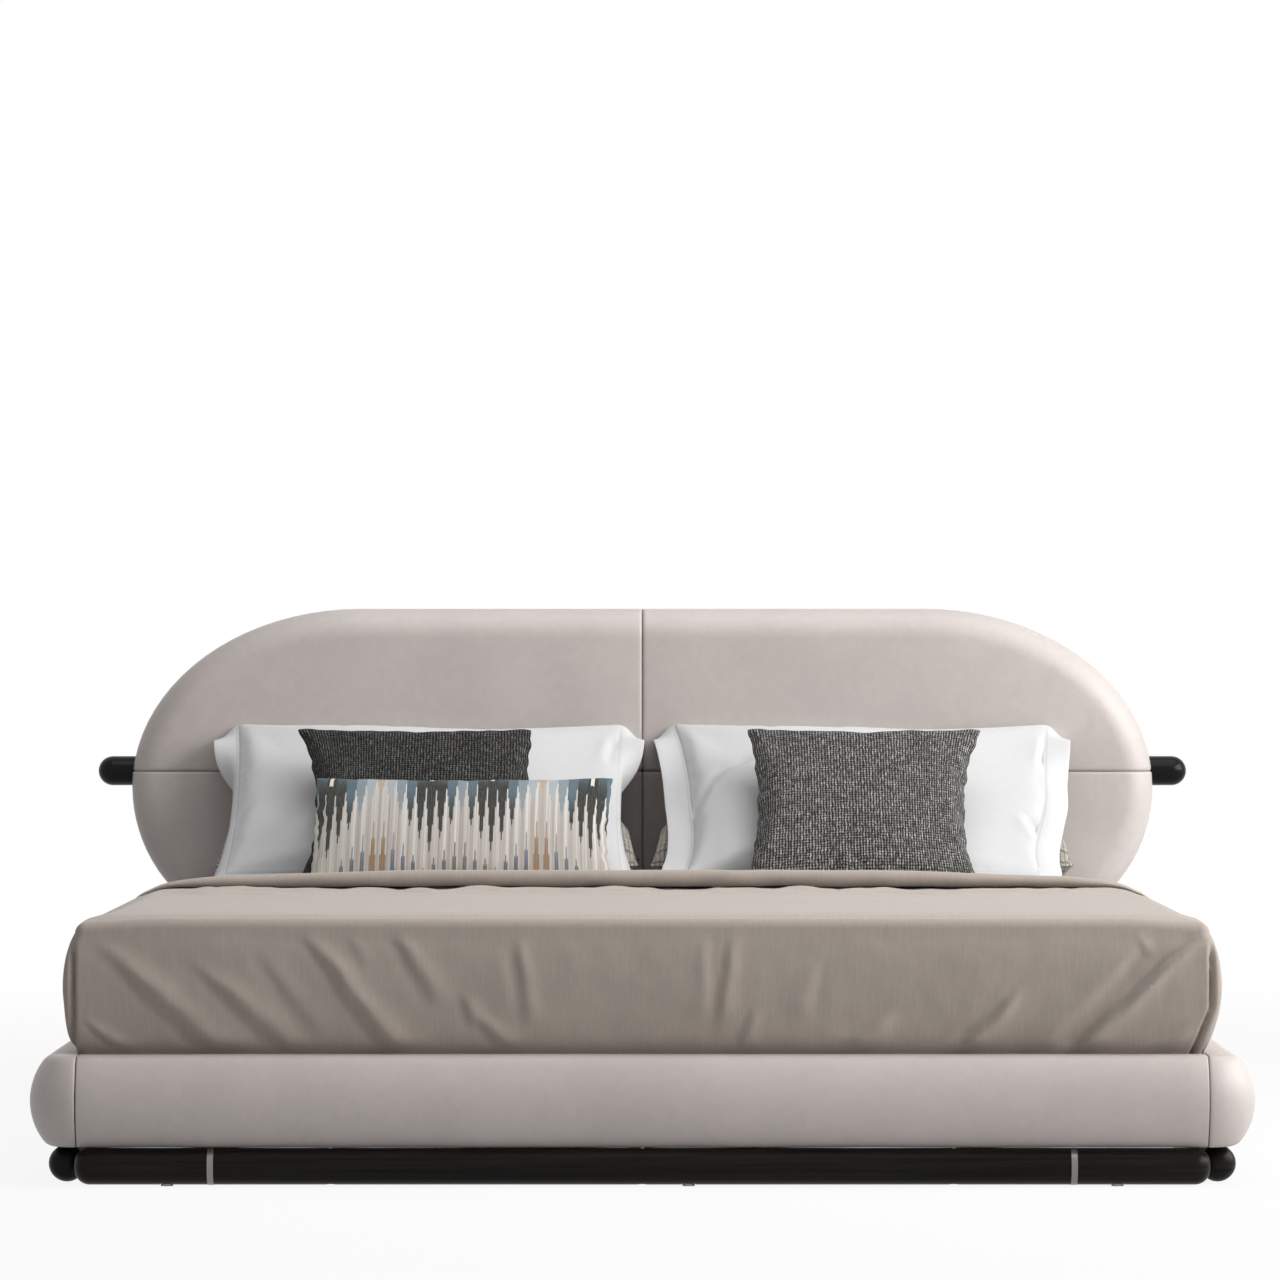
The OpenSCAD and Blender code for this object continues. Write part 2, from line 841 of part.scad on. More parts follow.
// A slab of the headboard's outline, from depth y0 behind its face and t thick
module headboard_slab(inset, y0, t) {
    translate([0, headboard_y + y0 + t, 0]) rotate([90, 0, 0]) linear_extrude(t)
        headboard_outline(inset);
}

// Depths behind the face at which a pad's section is drawn, with the inset of its outer edge
pad_turns = [0, 18, 34, 48, 60, 70, 80, 90];
pad_sections = concat(
    [[pads_depth, 0]],
    [for (turn = pad_turns) [pad_r * (1 - sin(turn)), pad_r * (1 - cos(turn))]]
);

function seam_inset(depth) = pad_gap / 2 + (depth >= seam_r ? 0 :
    seam_r * (1 - sqrt(1 - pow(1 - depth / seam_r, 2))));

// One section of a pad: its edge points held back from both seams, and the seams' corner
function pad_ring(edge, section, up) = let (
    depth = section[0],
    hold = seam_inset(depth),
    moved = drawn_in(edge, section[1])
) concat(
    [for (p = moved) [
        max(p[0], hold),
        headboard_y + depth,
        up ? max(p[1], bar_z + hold) : min(p[1], bar_z - hold)
    ]],
    [[hold, headboard_y + depth, up ? bar_z + hold : bar_z - hold]]
);

// Triangles between rings of n points, m rings, with both ends closed by fans from the last point
function ring_faces(n, m) = concat(
    [for (j = [0 : m - 2], i = [0 : n - 1])
        [j * n + i, j * n + (i + 1) % n, (j + 1) * n + i]],
    [for (j = [0 : m - 2], i = [0 : n - 1])
        [j * n + (i + 1) % n, (j + 1) * n + (i + 1) % n, (j + 1) * n + i]],
    [for (i = [0 : n - 3]) [n - 1, i + 1, i]],
    [for (i = [0 : n - 3]) [m * n - 1, (m - 1) * n + i, (m - 1) * n + i + 1]]
);

module pad_right(edge, up) {
    rings = [for (section = pad_sections) pad_ring(edge, section, up)];
    n = len(edge) + 1;
    difference() {
        polyhedron(
            points = [for (ring = rings) each ring],
            faces = ring_faces(n, len(rings))
        );
        headboard_slab(pad_edge_t, pad_t, headboard_t);
        bar_hole();
    }
}

bar_y = headboard_y + pad_t + front_board_t + cavity_t / 2;

module bar_hole() {
    translate([-bar_len / 2, bar_y, bar_z]) along_x()
        cylinder(r = bar_d / 2 + bar_clear, h = bar_len, $fn = 96);
}

module pad_upper_right() {
    color(leather) from_foot() pad_right(upper_edge, true);
}

module pad_upper_left() {
    mirror([1, 0, 0]) pad_upper_right();
}

module pad_lower_right() {
    color(leather) from_foot() pad_right(lower_edge, false);
}

module pad_lower_left() {
    mirror([1, 0, 0]) pad_lower_right();
}

module headboard_front_board() {
    color(pale_wood) from_foot() headboard_slab(pad_edge_t, pad_t, front_board_t);
}

rib_places = [-strut_at - rib_out, -strut_at, -strut_at / 3, strut_at / 3, strut_at, strut_at + rib_out];

// The frame between the boards: a rim, upright ribs and a level channel for the bar
module headboard_frame() {
    channel = bar_d / 2 + bar_clear;
    frame_y = pad_t + front_board_t;
    color(pale_wood) from_foot() difference() {
        union() {
            difference() {
                headboard_slab(pad_edge_t, frame_y, cavity_t);
                headboard_slab(pad_edge_t + rib_w, frame_y - 1, cavity_t + 2);
            }
            intersection() {
                headboard_slab(pad_edge_t + rib_w / 2, frame_y, cavity_t);
                for (x = rib_places) translate([x - rib_w / 2, headboard_y + frame_y, 0])
                    cube([rib_w, cavity_t, headboard_top]);
            }
        }
        translate([-headboard_w, headboard_y + frame_y - 1, bar_z - channel])
            cube([2 * headboard_w, cavity_t + 2, 2 * channel]);
        strut_bolt_holes();
    }
}

module headboard_back_board() {
    color(pale_wood) from_foot() difference() {
        headboard_slab(pad_edge_t, pad_t + front_board_t + cavity_t, back_board_t);
        strut_bolt_holes();
        bar_screw_holes();
    }
}

module headboard_back_cover() {
    color(leather_dark) from_foot() difference() {
        headboard_slab(2, pads_depth, back_cover_t);
        strut_bolt_holes();
    }
}

module headboard_bar() {
    color(dark_wood) from_foot() difference() {
        translate([0, bar_y, bar_z]) along_x() both_ends() {
            cylinder(d = bar_d, h = (bar_len - bar_d) / 2, $fn = 96);
            translate([0, 0, (bar_len - bar_d) / 2]) sphere(d = bar_d, $fn = 96);
        }
        bar_screw_holes();
    }
}

// Screws hold the bar to the back board, under the back cover
bar_screw_places = [-650, -250, 250, 650];
bar_screw_len = back_board_t + 0.5 + 22;

module at_bar_screws() {
    for (x = bar_screw_places)
        translate([x, headboard_y + pads_depth - m6[2], bar_z]) rotate([-90, 0, 0]) children();
}

module bar_screw_holes() {
    at_bar_screws() bolt_hole(m6, bar_screw_len + 1, m6[2] + 1);
}

module bar_screws() {
    color(steel) from_foot() at_bar_screws() bolt(m6, bar_screw_len - m6[2]);
}

strut_foot_in = 9;
strut_over_bar = 90;
strut_z0 = rail_z + strut_foot_in;
strut_z1 = bar_z + strut_over_bar;
strut_head_in = 8;
strut_bolt_half = 30;
strut_bolt_under = 180;
strut_bolt_over = 65;
strut_bolt_hold = 45;
strut_bolt_z = [
    rail_mid_z - strut_bolt_half,
    rail_mid_z + strut_bolt_half,
    headboard_waist - strut_bolt_under,
    bar_z + strut_bolt_over
];
strut_bite = strut_t - strut_head_in + strut_bolt_hold;

module at_strut_bolts() {
    both_sides() for (z = strut_bolt_z)
        translate([strut_at, bed_len - strut_head_in, z]) rotate([-90, 0, 0]) children();
}

module strut_bolt_holes() {
    at_strut_bolts() bolt_hole(m8, strut_bite + 2, strut_head_in + 1);
}

module headboard_struts() {
    color(pale_wood) from_foot() difference() {
        both_sides() translate([strut_at - strut_w / 2, frame_end_y, strut_z0])
            cube([strut_w, strut_t, strut_z1 - strut_z0]);
        strut_bolt_holes();
    }
}

module strut_bolts() {
    color(steel) from_foot() at_strut_bolts() bolt(m8, strut_bite);
}

// Mattress and bedspread. Their forms are level rings round the bed, stacked upwards.

// Points of a rounded rectangle, x_half wide each side, from y0 to y1, at height z
function round_ring(x_half, y0, y1, r, z, steps) = [
    for (corner = [[1, 1, 0], [-1, 1, 90], [-1, -1, 180], [1, -1, 270]], i = [0 : steps])
        let (a = corner[2] + 90 * i / steps)
        [
            corner[0] * (x_half - r) + r * cos(a),
            (corner[1] > 0 ? y1 - r : y0 + r) + r * sin(a),
            z
        ]
];

mattress_turns = [0, 30, 60, 90];
mattress_levels = concat(
    [for (a = mattress_turns) [deck_z + mattress_r * (1 - cos(a)), mattress_r * (1 - sin(a))]],
    [for (a = mattress_turns) [mattress_top_z - mattress_r * (1 - sin(a)), mattress_r * (1 - cos(a))]]
);

module mattress() {
    steps = 5;
    rings = [for (level = mattress_levels) round_ring(
        mattress_w / 2 - level[1], mattress_y + level[1], mattress_y + mattress_l - level[1],
        mattress_r + 12 - level[1] / 2, level[0], steps
    )];
    color(cotton) from_foot() polyhedron(
        points = [for (ring = rings) each ring],
        faces = ring_faces(4 * (steps + 1), len(rings))
    );
}

spread_top_z = mattress_top_z + spread_t;
shoulder_z = spread_top_z - spread_edge_r;
tuck_out = rail_gap - 1.2;
tuck_top_z = rail_top_z + 4;
shoulder_out = tuck_out + 8;
turn_end_y = hem_at + turn_len;
spread_corner_r = 32;
lining_r = 12;
front_steps = 40;
corner_steps = 4;
side_steps = 5;
cover_levels = [0, 0.14, 0.3, 0.5, 0.7, 0.86, 1];
edge_turns = [30, 60, 90];

// How far up the hanging part a height is, from 0 at the rail to 1 at the top edge
function hang_share(z) = max(0, min(1, (z - tuck_top_z) / (shoulder_z - tuck_top_z)));
// How far the cover stands out from the mattress's side at a height
function hang_out(z, bulge) = tuck_out + (shoulder_out - tuck_out) * hang_share(z)
    + bulge * pow(sin(180 * hang_share(z)), 0.8);
// Drag folds on the foot face run inwards as they run down
function fold_at(x, z) = fold_depth * pow(sin(180 * hang_share(z)), 0.7)
    * cos(360 * (abs(x) + fold_slant * (shoulder_z - z)) / fold_pitch)
    * min(1, 2.5 * (1 - abs(x) / (mattress_w / 2)));

// Heights of the cover's rings with how far they are drawn in by the rounded top edge
spread_levels = concat(
    [[rail_top_z - tuck_depth, 0]],
    [for (share = cover_levels) [tuck_top_z + share * (shoulder_z - tuck_top_z), 0]],
    [for (a = edge_turns) [shoulder_z + spread_edge_r * sin(a), spread_edge_r * (1 - cos(a))]]
);

// An open ring round the sides and the foot, from the right rear corner to the left one
function spread_outline(side, front, r, z, folded) = let (flat = side - r, rear = turn_end_y) concat(
    [for (i = [0 : side_steps]) [side, rear + (front + r - rear) * i / side_steps, z]],
    [for (i = [1 : corner_steps])
        let (a = 90 * i / corner_steps)
        [flat + r * cos(a), front + r - r * sin(a), z]],
    [for (i = [1 : front_steps - 1])
        let (x = flat - 2 * flat * i / front_steps)
        [x, front - (folded ? fold_at(x, z) : 0), z]],
    [for (i = [0 : corner_steps])
        let (a = 90 * (1 - i / corner_steps))
        [-flat - r * cos(a), front + r - r * sin(a), z]],
    [for (i = [1 : side_steps]) [-side, rear + (front + r - rear) * (1 - i / side_steps), z]]
);

function spread_ring(level) = let (
    z = level[0],
    inset = level[1],
    side = mattress_w / 2 + hang_out(min(z, shoulder_z), spread_bulge) - inset,
    front = mattress_y - hang_out(min(z, shoulder_z), spread_bulge / 2) + inset
) spread_outline(side, front, spread_corner_r - inset / 3, z, inset == 0);

function spread_lining(z) = spread_outline(
    mattress_w / 2 + soft_clear, mattress_y - soft_clear, lining_r, z, false);

// Triangles of the cover: m outer rings of n points, a lower and an upper ring of the lining,
// and the middles of the cover's top and of the lining's top. Rings below bend join the lining's
// foot at the open rear end, and the rings above it join the lining's top.
function spread_faces(n, m, bend) = let (
    low = m * n,
    high = low + n,
    top = high + n,
    roof = (m - 1) * n
) concat(
    [for (j = [0 : m - 2], i = [0 : n - 2], k = [0, 1])
        let (a = j * n + i)
        k == 0 ? [a + 1, a + n + 1, a + n] : [a + 1, a + n, a]],
    [for (i = [0 : n - 1]) [top, roof + i, roof + (i + 1) % n]],
    [for (i = [0 : n - 2], k = [0, 1])
        let (a = low + i)
        k == 0 ? [a + 1, a, a + n] : [a + 1, a + n, a + n + 1]],
    [for (i = [0 : n - 1]) [top + 1, high + (i + 1) % n, high + i]],
    [for (i = [0 : n - 2], k = [0, 1])
        k == 0 ? [i + 1, i, low + i] : [i + 1, low + i, low + i + 1]],
    [for (k = [0 : m - 2], end = [0, 1]) let (
        apex = (k < bend ? low : high) + end * (n - 1),
        a = k * n + end * (n - 1)
    ) end == 0 ? [apex, a, a + n] : [apex, a + n, a]],
    [
        [low, bend * n, high],
        [low + n - 1, high + n - 1, bend * n + n - 1],
        [high, roof, roof + n - 1],
        [high, roof + n - 1, high + n - 1]
    ]
);

module bedspread() {
    rings = [for (level = spread_levels) spread_ring(level)];
    lining_top_z = mattress_top_z + soft_clear;
    middle_y = (mattress_y + turn_end_y) / 2;
    color(linen) from_foot() polyhedron(
        points = concat(
            [for (ring = rings) each ring],
            spread_lining(rail_top_z - tuck_depth),
            spread_lining(lining_top_z),
            [[0, middle_y, spread_top_z], [0, middle_y, lining_top_z]]
        ),
        faces = spread_faces(len(rings[0]), len(rings), len(cover_levels))
    );
}

// The turned down part: a band over the top and down both sides. Each section is one line
// over the bed on the outside and one on the inside.
turn_stations = [[0, 0.3], [0.07, 0.75], [0.2, 1], [0.5, 1], [0.8, 1], [0.93, 0.75], [1, 0.3]];

function band_half(side_t, top_t) = concat(
    [for (share = cover_levels)
        let (z = tuck_top_z + 1 + share * (shoulder_z - tuck_top_z - 1))
        [mattress_w / 2 + hang_out(z, spread_bulge) + side_t, z]],
    [for (a = edge_turns) [
        mattress_w / 2 + shoulder_out - spread_edge_r + (spread_edge_r + side_t) * cos(a),
        shoulder_z + (spread_edge_r + top_t) * sin(a)
    ]]
);

function band_line(side_t, top_t, y) = let (half = band_half(side_t, top_t), m = len(half)) concat(
    [for (i = [0 : m - 1]) [half[i][0], y, half[i][1]]],
    [for (i = [m - 1 : -1 : 0]) [-half[i][0], y, half[i][1]]]
);

// Triangles of a band of sections, each of m points outside and then m points inside
function band_faces(m, sections) = let (n = 2 * m) concat(
    [for (j = [0 : sections - 2], i = [0 : m - 2], k = [0, 1])
        k == 0 ? [j * n + i, (j + 1) * n + i, j * n + i + 1]
            : [j * n + i + 1, (j + 1) * n + i, (j + 1) * n + i + 1]],
    [for (j = [0 : sections - 2], i = [m : n - 2], k = [0, 1])
        k == 0 ? [j * n + i, j * n + i + 1, (j + 1) * n + i]
            : [j * n + i + 1, (j + 1) * n + i + 1, (j + 1) * n + i]],
    [for (j = [0 : sections - 2], i = [0, m - 1]) i == 0
        ? [j * n, j * n + m, (j + 1) * n + m, (j + 1) * n]
        : [j * n + i, (j + 1) * n + i, (j + 1) * n + i + m, j * n + i + m]],
    [for (i = [0 : m - 2]) [i, i + 1, m + i + 1, m + i]],
    [for (i = [0 : m - 2])
        let (s = (sections - 1) * n)
        [s + i + 1, s + i, s + m + i, s + m + i + 1]]
);

module turn_down() {
    gap = soft_clear;
    sections = [for (station = turn_stations)
        let (y = hem_at + station[0] * turn_len, fill = station[1])
        concat(band_line(gap + turn_side_t * fill, gap + turn_t * fill, y), band_line(gap, gap, y))
    ];
    color(linen) from_foot() polyhedron(
        points = [for (section = sections) each section],
        faces = band_faces(len(sections[0]) / 2, len(sections))
    );
}

// Pillows and cushions. Each is drawn lying flat, crowned on both faces and drawn in between
// its corners, then leant back, turned and set down so that its lowest point is on the bed.

// Shares of the half width at which a pillow's surface is drawn, closer near the edges
function shares(n, border) = let (inner = [for (i = [0 : n]) (1 - border) * sin(90 * (2 * i / n - 1))])
    border > 0 ? concat([-1], inner, [1]) : inner;

// Fullness at a share of the half width: it falls off over the last part, named by slope
function fullness(share, slope) = let (past = max(0, min(1, share) - (1 - slope)) / slope)
    sqrt(max(0, 1 - past * past));

// size: width, height, thickness in the middle and at the ends; edge: thickness of the border
// draw: share by which the sides draw in; sag: hollow of the whole pillow; belly: share behind
// slope: share of the half width, and of the half height, over which it thins to its edge
function pillow_points(size, border, edge, draw, sag, belly, slope, nu, nv) = let (
    border_u = 2 * border / size[0],
    border_v = 2 * border / size[1],
    us = shares(nu, border_u),
    vs = shares(nv, border_v)
) [for (face = [0, 1], v = vs, u = us)
    let (
        full = size[2] + (size[3] - size[2]) * pow(abs(u), 4),
        out = (full - edge) * fullness(abs(u) / (1 - border_u), slope[0])
            * fullness(abs(v) / (1 - border_v), slope[1]),
        mid = -sag * (1 - v * v)
    )
    [
        size[0] / 2 * u * (1 - draw * (1 - v * v)),
        size[1] / 2 * v * (1 - draw * (1 - u * u)),
        mid + (face == 0 ? edge / 2 + out * (1 - belly) : -edge / 2 - out * belly)
    ]
];

function pillow_faces(nu, nv) = let (n = nu + 1, m = nv + 1, back = n * m) concat(
    [for (j = [0 : m - 2], i = [0 : n - 2], k = [0, 1])
        let (a = j * n + i, b = a + 1, c = a + n, d = c + 1)
        k == 0 ? [a, c, b] : [b, c, d]],
    [for (j = [0 : m - 2], i = [0 : n - 2], k = [0, 1])
        let (a = back + j * n + i, b = a + 1, c = a + n, d = c + 1)
        k == 0 ? [a, b, c] : [b, d, c]],
    [for (i = [0 : n - 2]) [i, i + 1, back + i + 1, back + i]],
    [for (i = [0 : n - 2])
        let (a = (m - 1) * n + i)
        [a + 1, a, back + a, back + a + 1]],
    [for (j = [0 : m - 2])
        let (a = j * n)
        [a + n, a, back + a, back + a + n]],
    [for (j = [0 : m - 2])
        let (a = j * n + n - 1)
        [a, a + n, back + a + n, back + a]]
);

function leant(p, lean) = [p[0], p[1] * cos(lean) - p[2] * sin(lean), p[1] * sin(lean) + p[2] * cos(lean)];
function turned(p, turn) = [p[0] * cos(turn) - p[1] * sin(turn), p[0] * sin(turn) + p[1] * cos(turn), p[2]];

// at: X and Y of the pillow's middle; lean from lying flat; turn about the upright axis
module pillow(size, border, edge, draw, sag, belly, slope, nu, nv, at, lean, turn) {
    flat = pillow_points(size, border, edge, draw, sag, belly, slope, nu, nv);
    set_down = [for (p = flat) turned(leant(p, lean), turn)];
    low = min([for (p = set_down) p[2]]);
    extra = border > 0 ? 2 : 0;
    from_foot() translate([at[0], at[1], mattress_top_z + soft_clear - low]) polyhedron(
        points = set_down,
        faces = pillow_faces(nu + extra, nv + extra)
    );
}

// Places: spaces along the bed, the middle between the two sides, and shifts to the right
tweed_gap = 6;
white_gap = 12;
grey_step = 150;
lumbar_gap = 10;
pillow_gap = 9.5;
pillows_mid_x = 5.75;
tweed_shift = [8, -10];
grey_shift = [-19, -4];
lumbar_shift = 81;
white_lean = 31;
grey_lean = 39.5;
lumbar_lean = 33.5;
tweed_y = headboard_y - tweed_l / 2 - tweed_gap;
white_y = headboard_y - white_gap - white_h / 2 * cos(white_lean);
grey_y = white_y - grey_step;
lumbar_y = turn_end_y + lumbar_gap + lumbar_h / 2 * cos(lumbar_lean);
left_x = pillows_mid_x - (pillow_gap + white_w) / 2;
right_x = pillows_mid_x + (pillow_gap + white_w) / 2;

module tweed_pillow(x) {
    color(tweed) pillow([tweed_w, tweed_l, tweed_mid_t, tweed_t], 0, 6, 0.03, 0, 0.3, [0.12, 0.8],
        14, 10, [x, tweed_y], 0, 0);
}

module white_pillow(x) {
    color(cotton) pillow([white_w, white_h, white_t, white_t], border_w, 3, 0.09, 20, 0.5, [1, 1],
        14, 10, [x, white_y], white_lean, 0);
}

module grey_cushion(x, turn) {
    color(grey_wool) pillow([grey_w, grey_w, grey_t, grey_t], 0, 5, 0.05, 0, 0.5, [1, 1],
        12, 12, [x, grey_y], grey_lean, turn);
}

module tweed_pillow_left() {
    tweed_pillow(left_x + tweed_shift[0]);
}

module tweed_pillow_right() {
    tweed_pillow(right_x + tweed_shift[1]);
}

module white_pillow_left() {
    white_pillow(left_x);
}

module white_pillow_right() {
    white_pillow(right_x);
}

module grey_cushion_left() {
    grey_cushion(left_x + grey_shift[0], 0);
}

module grey_cushion_right() {
    grey_cushion(right_x + grey_shift[1], 0);
}

module long_cushion() {
    color(flame_cloth) pillow([lumbar_w, lumbar_h, lumbar_t, lumbar_t], 0, 5, 0.04, 0, 0.5, [1, 1],
        14, 10, [left_x + lumbar_shift, lumbar_y], lumbar_lean, 0);
}

foot_rail_core();
foot_rail_cover();
side_rail_core_left();
side_rail_core_right();
side_rail_cover_left();
side_rail_cover_right();
head_rail_core();
head_rail_cover();
corner_brackets();
corner_bolts();
slat_ledger_left();
slat_ledger_right();
ledger_screws();
middle_beam();
beam_hangers();
hanger_bolts();
middle_legs();
leg_screws();
leg_glides();
slats_left();
slats_right();
slat_caps_left();
slat_caps_right();
foot_log_middle();
foot_log_end_left();
foot_log_end_right();
foot_log_ring_left();
foot_log_ring_right();
side_log_left();
side_log_right();
head_log();
log_bolts();
floor_glides();
pad_upper_left();
pad_upper_right();
pad_lower_left();
pad_lower_right();
headboard_front_board();
headboard_frame();
headboard_back_board();
headboard_back_cover();
headboard_bar();
bar_screws();
headboard_struts();
strut_bolts();
mattress();
bedspread();
turn_down();
tweed_pillow_left();
tweed_pillow_right();
white_pillow_left();
white_pillow_right();
grey_cushion_left();
grey_cushion_right();
long_cushion();
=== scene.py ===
"""Dresses the leather bed: leather, cloth, wood and metal over the bed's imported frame.

Lengths are in metres. X runs across the bed, +Y from the foot to the head, +Z up.
"""

import functools
import math

import bmesh
import bpy
from mathutils import Matrix, Vector, noise


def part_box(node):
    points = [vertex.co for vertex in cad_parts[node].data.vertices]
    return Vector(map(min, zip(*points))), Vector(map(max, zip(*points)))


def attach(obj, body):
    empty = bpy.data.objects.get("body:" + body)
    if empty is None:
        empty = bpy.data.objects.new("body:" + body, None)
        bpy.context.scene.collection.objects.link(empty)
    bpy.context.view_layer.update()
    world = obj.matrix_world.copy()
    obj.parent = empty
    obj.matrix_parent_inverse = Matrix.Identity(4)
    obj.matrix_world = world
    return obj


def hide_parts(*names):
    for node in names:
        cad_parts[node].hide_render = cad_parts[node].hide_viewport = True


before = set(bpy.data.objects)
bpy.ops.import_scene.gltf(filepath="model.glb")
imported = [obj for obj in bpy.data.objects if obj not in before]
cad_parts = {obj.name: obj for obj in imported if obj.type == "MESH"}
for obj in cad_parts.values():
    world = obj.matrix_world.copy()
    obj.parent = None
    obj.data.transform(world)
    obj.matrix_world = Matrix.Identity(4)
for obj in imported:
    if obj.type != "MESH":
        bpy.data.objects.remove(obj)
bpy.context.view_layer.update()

# Main places of the bed, as in the frame
FOOT_Y = -1.12525
RAIL_IN_X = 0.9155
RAIL_IN_Y = FOOT_Y + 0.080
RAIL_MID_Z = 0.136
RAIL_HALF_H = 0.075
SIDE_STRAIGHT = 2.0705
MATTRESS_HALF_W = 0.900
MATTRESS_FOOT_Y = FOOT_Y + 0.0955
MATTRESS_L = 2.000
DECK_Z = 0.145
MATTRESS_TOP_Z = 0.425
HEADBOARD_Y = FOOT_Y + 2.1005
SEAM_Z = 0.632
HEM_Y = FOOT_Y + 1.250
TURN_L = 0.095
CORNER_X = 0.925  # where the bedspread's foot and side parts meet

# Width and height of covers as they are cut
WHITE_CUT = (0.785, 0.545)
LONG_CUT = (0.58, 0.37)


def ease(share):
    """Runs smoothly from 0 to 1 while share goes from 0 to 1."""
    share = max(0.0, min(1.0, share))
    return share * share * (3 - 2 * share)


def bell(distance, width):
    """A smooth bump that is 1 at its middle and fades over width."""
    return math.exp(-((distance / width) ** 2))


def waver(x, y, z):
    """Smooth noise between about -1 and 1."""
    return noise.noise(Vector((x, y, z)))


# Shader helpers


def operator(name, turned=False):
    """What a sign between two sockets does. turned is for a number that stands before it."""

    def apply(self, other):
        pair = [other, self] if turned else [self, other]
        return self.paint.node("ShaderNodeMath", {"operation": name}, pair)

    return apply


class Socket:
    """A node's output that is added, multiplied and compared as a number is."""

    def __init__(self, paint, output):
        self.paint = paint
        self.output = output

    __add__ = __radd__ = operator("ADD")
    __mul__ = __rmul__ = operator("MULTIPLY")
    __sub__ = operator("SUBTRACT")
    __rsub__ = operator("SUBTRACT", turned=True)
    __truediv__ = operator("DIVIDE")
    __pow__ = operator("POWER")
    __gt__ = operator("GREATER_THAN")
    __lt__ = operator("LESS_THAN")

    def math(self, operation, *others):
        return self.paint.node("ShaderNodeMath", {"operation": operation}, [self, *others])

    def clamp(self):
        settings = {"operation": "ADD", "use_clamp": True}
        return self.paint.node("ShaderNodeMath", settings, [self, 0.0])

    def smooth(self, low, high):
        """0 below low, 1 above high and smooth between them."""
        settings = {"interpolation_type": "SMOOTHSTEP"}
        return self.paint.node("ShaderNodeMapRange", settings, {0: self, 1: low, 2: high})


class Paint:
    """The nodes of a material, or of a world."""

    def __init__(self, name, kind="materials"):
        self.owner = getattr(bpy.data, kind).new(name)
        self.owner.use_nodes = True
        self.tree = self.owner.node_tree
        self.tree.nodes.clear()

    def node(self, kind, settings=None, inputs=(), out=0):
        made = self.tree.nodes.new(kind)
        for name, value in (settings or {}).items():
            if name == "stops":
                ramp = made.color_ramp
                ramp.elements[0].position, ramp.elements[0].color = value[0]
                ramp.elements[1].position, ramp.elements[1].color = value[-1]
                for place, color in value[1:-1]:
                    ramp.elements.new(place).color = color
            else:
                setattr(made, name, value)
        pairs = inputs.items() if isinstance(inputs, dict) else enumerate(inputs)
        for key, value in pairs:
            if isinstance(value, Socket):
                self.tree.links.new(value.output, made.inputs[key])
            else:
                made.inputs[key].default_value = value
        return Socket(self, made.outputs[out]) if len(made.outputs) else None

    def object_place(self):
        return self.node("ShaderNodeTexCoord", out="Object")

    def cloth_place(self):
        return self.node("ShaderNodeUVMap", {"uv_map": "cloth"})

    def outputs(self, kind, names, inputs=()):
        """Some outputs of one node, by their names or numbers."""
        made = self.node(kind, {}, inputs).output.node.outputs
        return [Socket(self, made[name]) for name in names]

    def axes(self, place):
        return self.outputs("ShaderNodeSeparateXYZ", range(3), [place])

    def seen(self):
        """1 for what the camera sees, also in a reflection or through glass, and 0 for light."""
        rays = ("Is Camera Ray", "Is Transmission Ray", "Is Glossy Ray")
        camera, clear, glossy = self.outputs("ShaderNodeLightPath", rays)
        return (camera + clear + glossy).clamp()

    def noise(self, place, scale, detail=2.0, rough=0.5):
        inputs = {"Vector": place, "Scale": scale, "Detail": detail, "Roughness": rough}
        return self.node("ShaderNodeTexNoise", {}, inputs)

    def grain(self, place, scales, detail=2.0, rough=0.5):
        """Noise with a scale of its own along each axis, for threads and wood."""
        drawn_out = self.node("ShaderNodeMapping", {}, {"Vector": place, "Scale": scales})
        return self.noise(drawn_out, 1.0, detail, rough)

    def cells(self, place, scale):
        return self.node("ShaderNodeTexVoronoi", {}, {"Vector": place, "Scale": scale})

    def mix(self, share, first, second):
        """Blends two colours, each a socket or what shade is told."""
        first, second = (
            shade(*color) if isinstance(color, tuple) else color for color in (first, second)
        )
        colors = {0: share, 6: first, 7: second}
        return self.node("ShaderNodeMix", {"data_type": "RGBA"}, colors, out=2)

    def ramp(self, share, *stops):
        """Colours along a scale from 0 to 1, each stop with its place and its colour."""
        stops = [(place, shade(*color)) for place, *color in stops]
        return self.node("ShaderNodeValToRGB", {"stops": stops}, [share])

    def surface(self, color, roughness, height=None, depth=0.001, strength=1.0, **same):
        inputs = {"Base Color": color, "Roughness": roughness}
        if height is not None:
            bump = {"Strength": strength, "Distance": depth, "Height": height}
            inputs["Normal"] = self.node("ShaderNodeBump", {}, bump)
        for name, value in same.items():
            inputs[name.replace("_", " ")] = value
        return self.finished("Material", self.node("ShaderNodeBsdfPrincipled", {}, inputs))

    def finished(self, kind, shader):
        self.node("ShaderNodeOutput" + kind, {}, {"Surface": shader})
        return self.owner


def shade(red, green, blue, by=1.0):
    """An opaque colour, made darker or lighter by a factor."""
    return (red * by, green * by, blue * by, 1.0)


WHITE = shade(1.0, 1.0, 1.0)


# Finishes


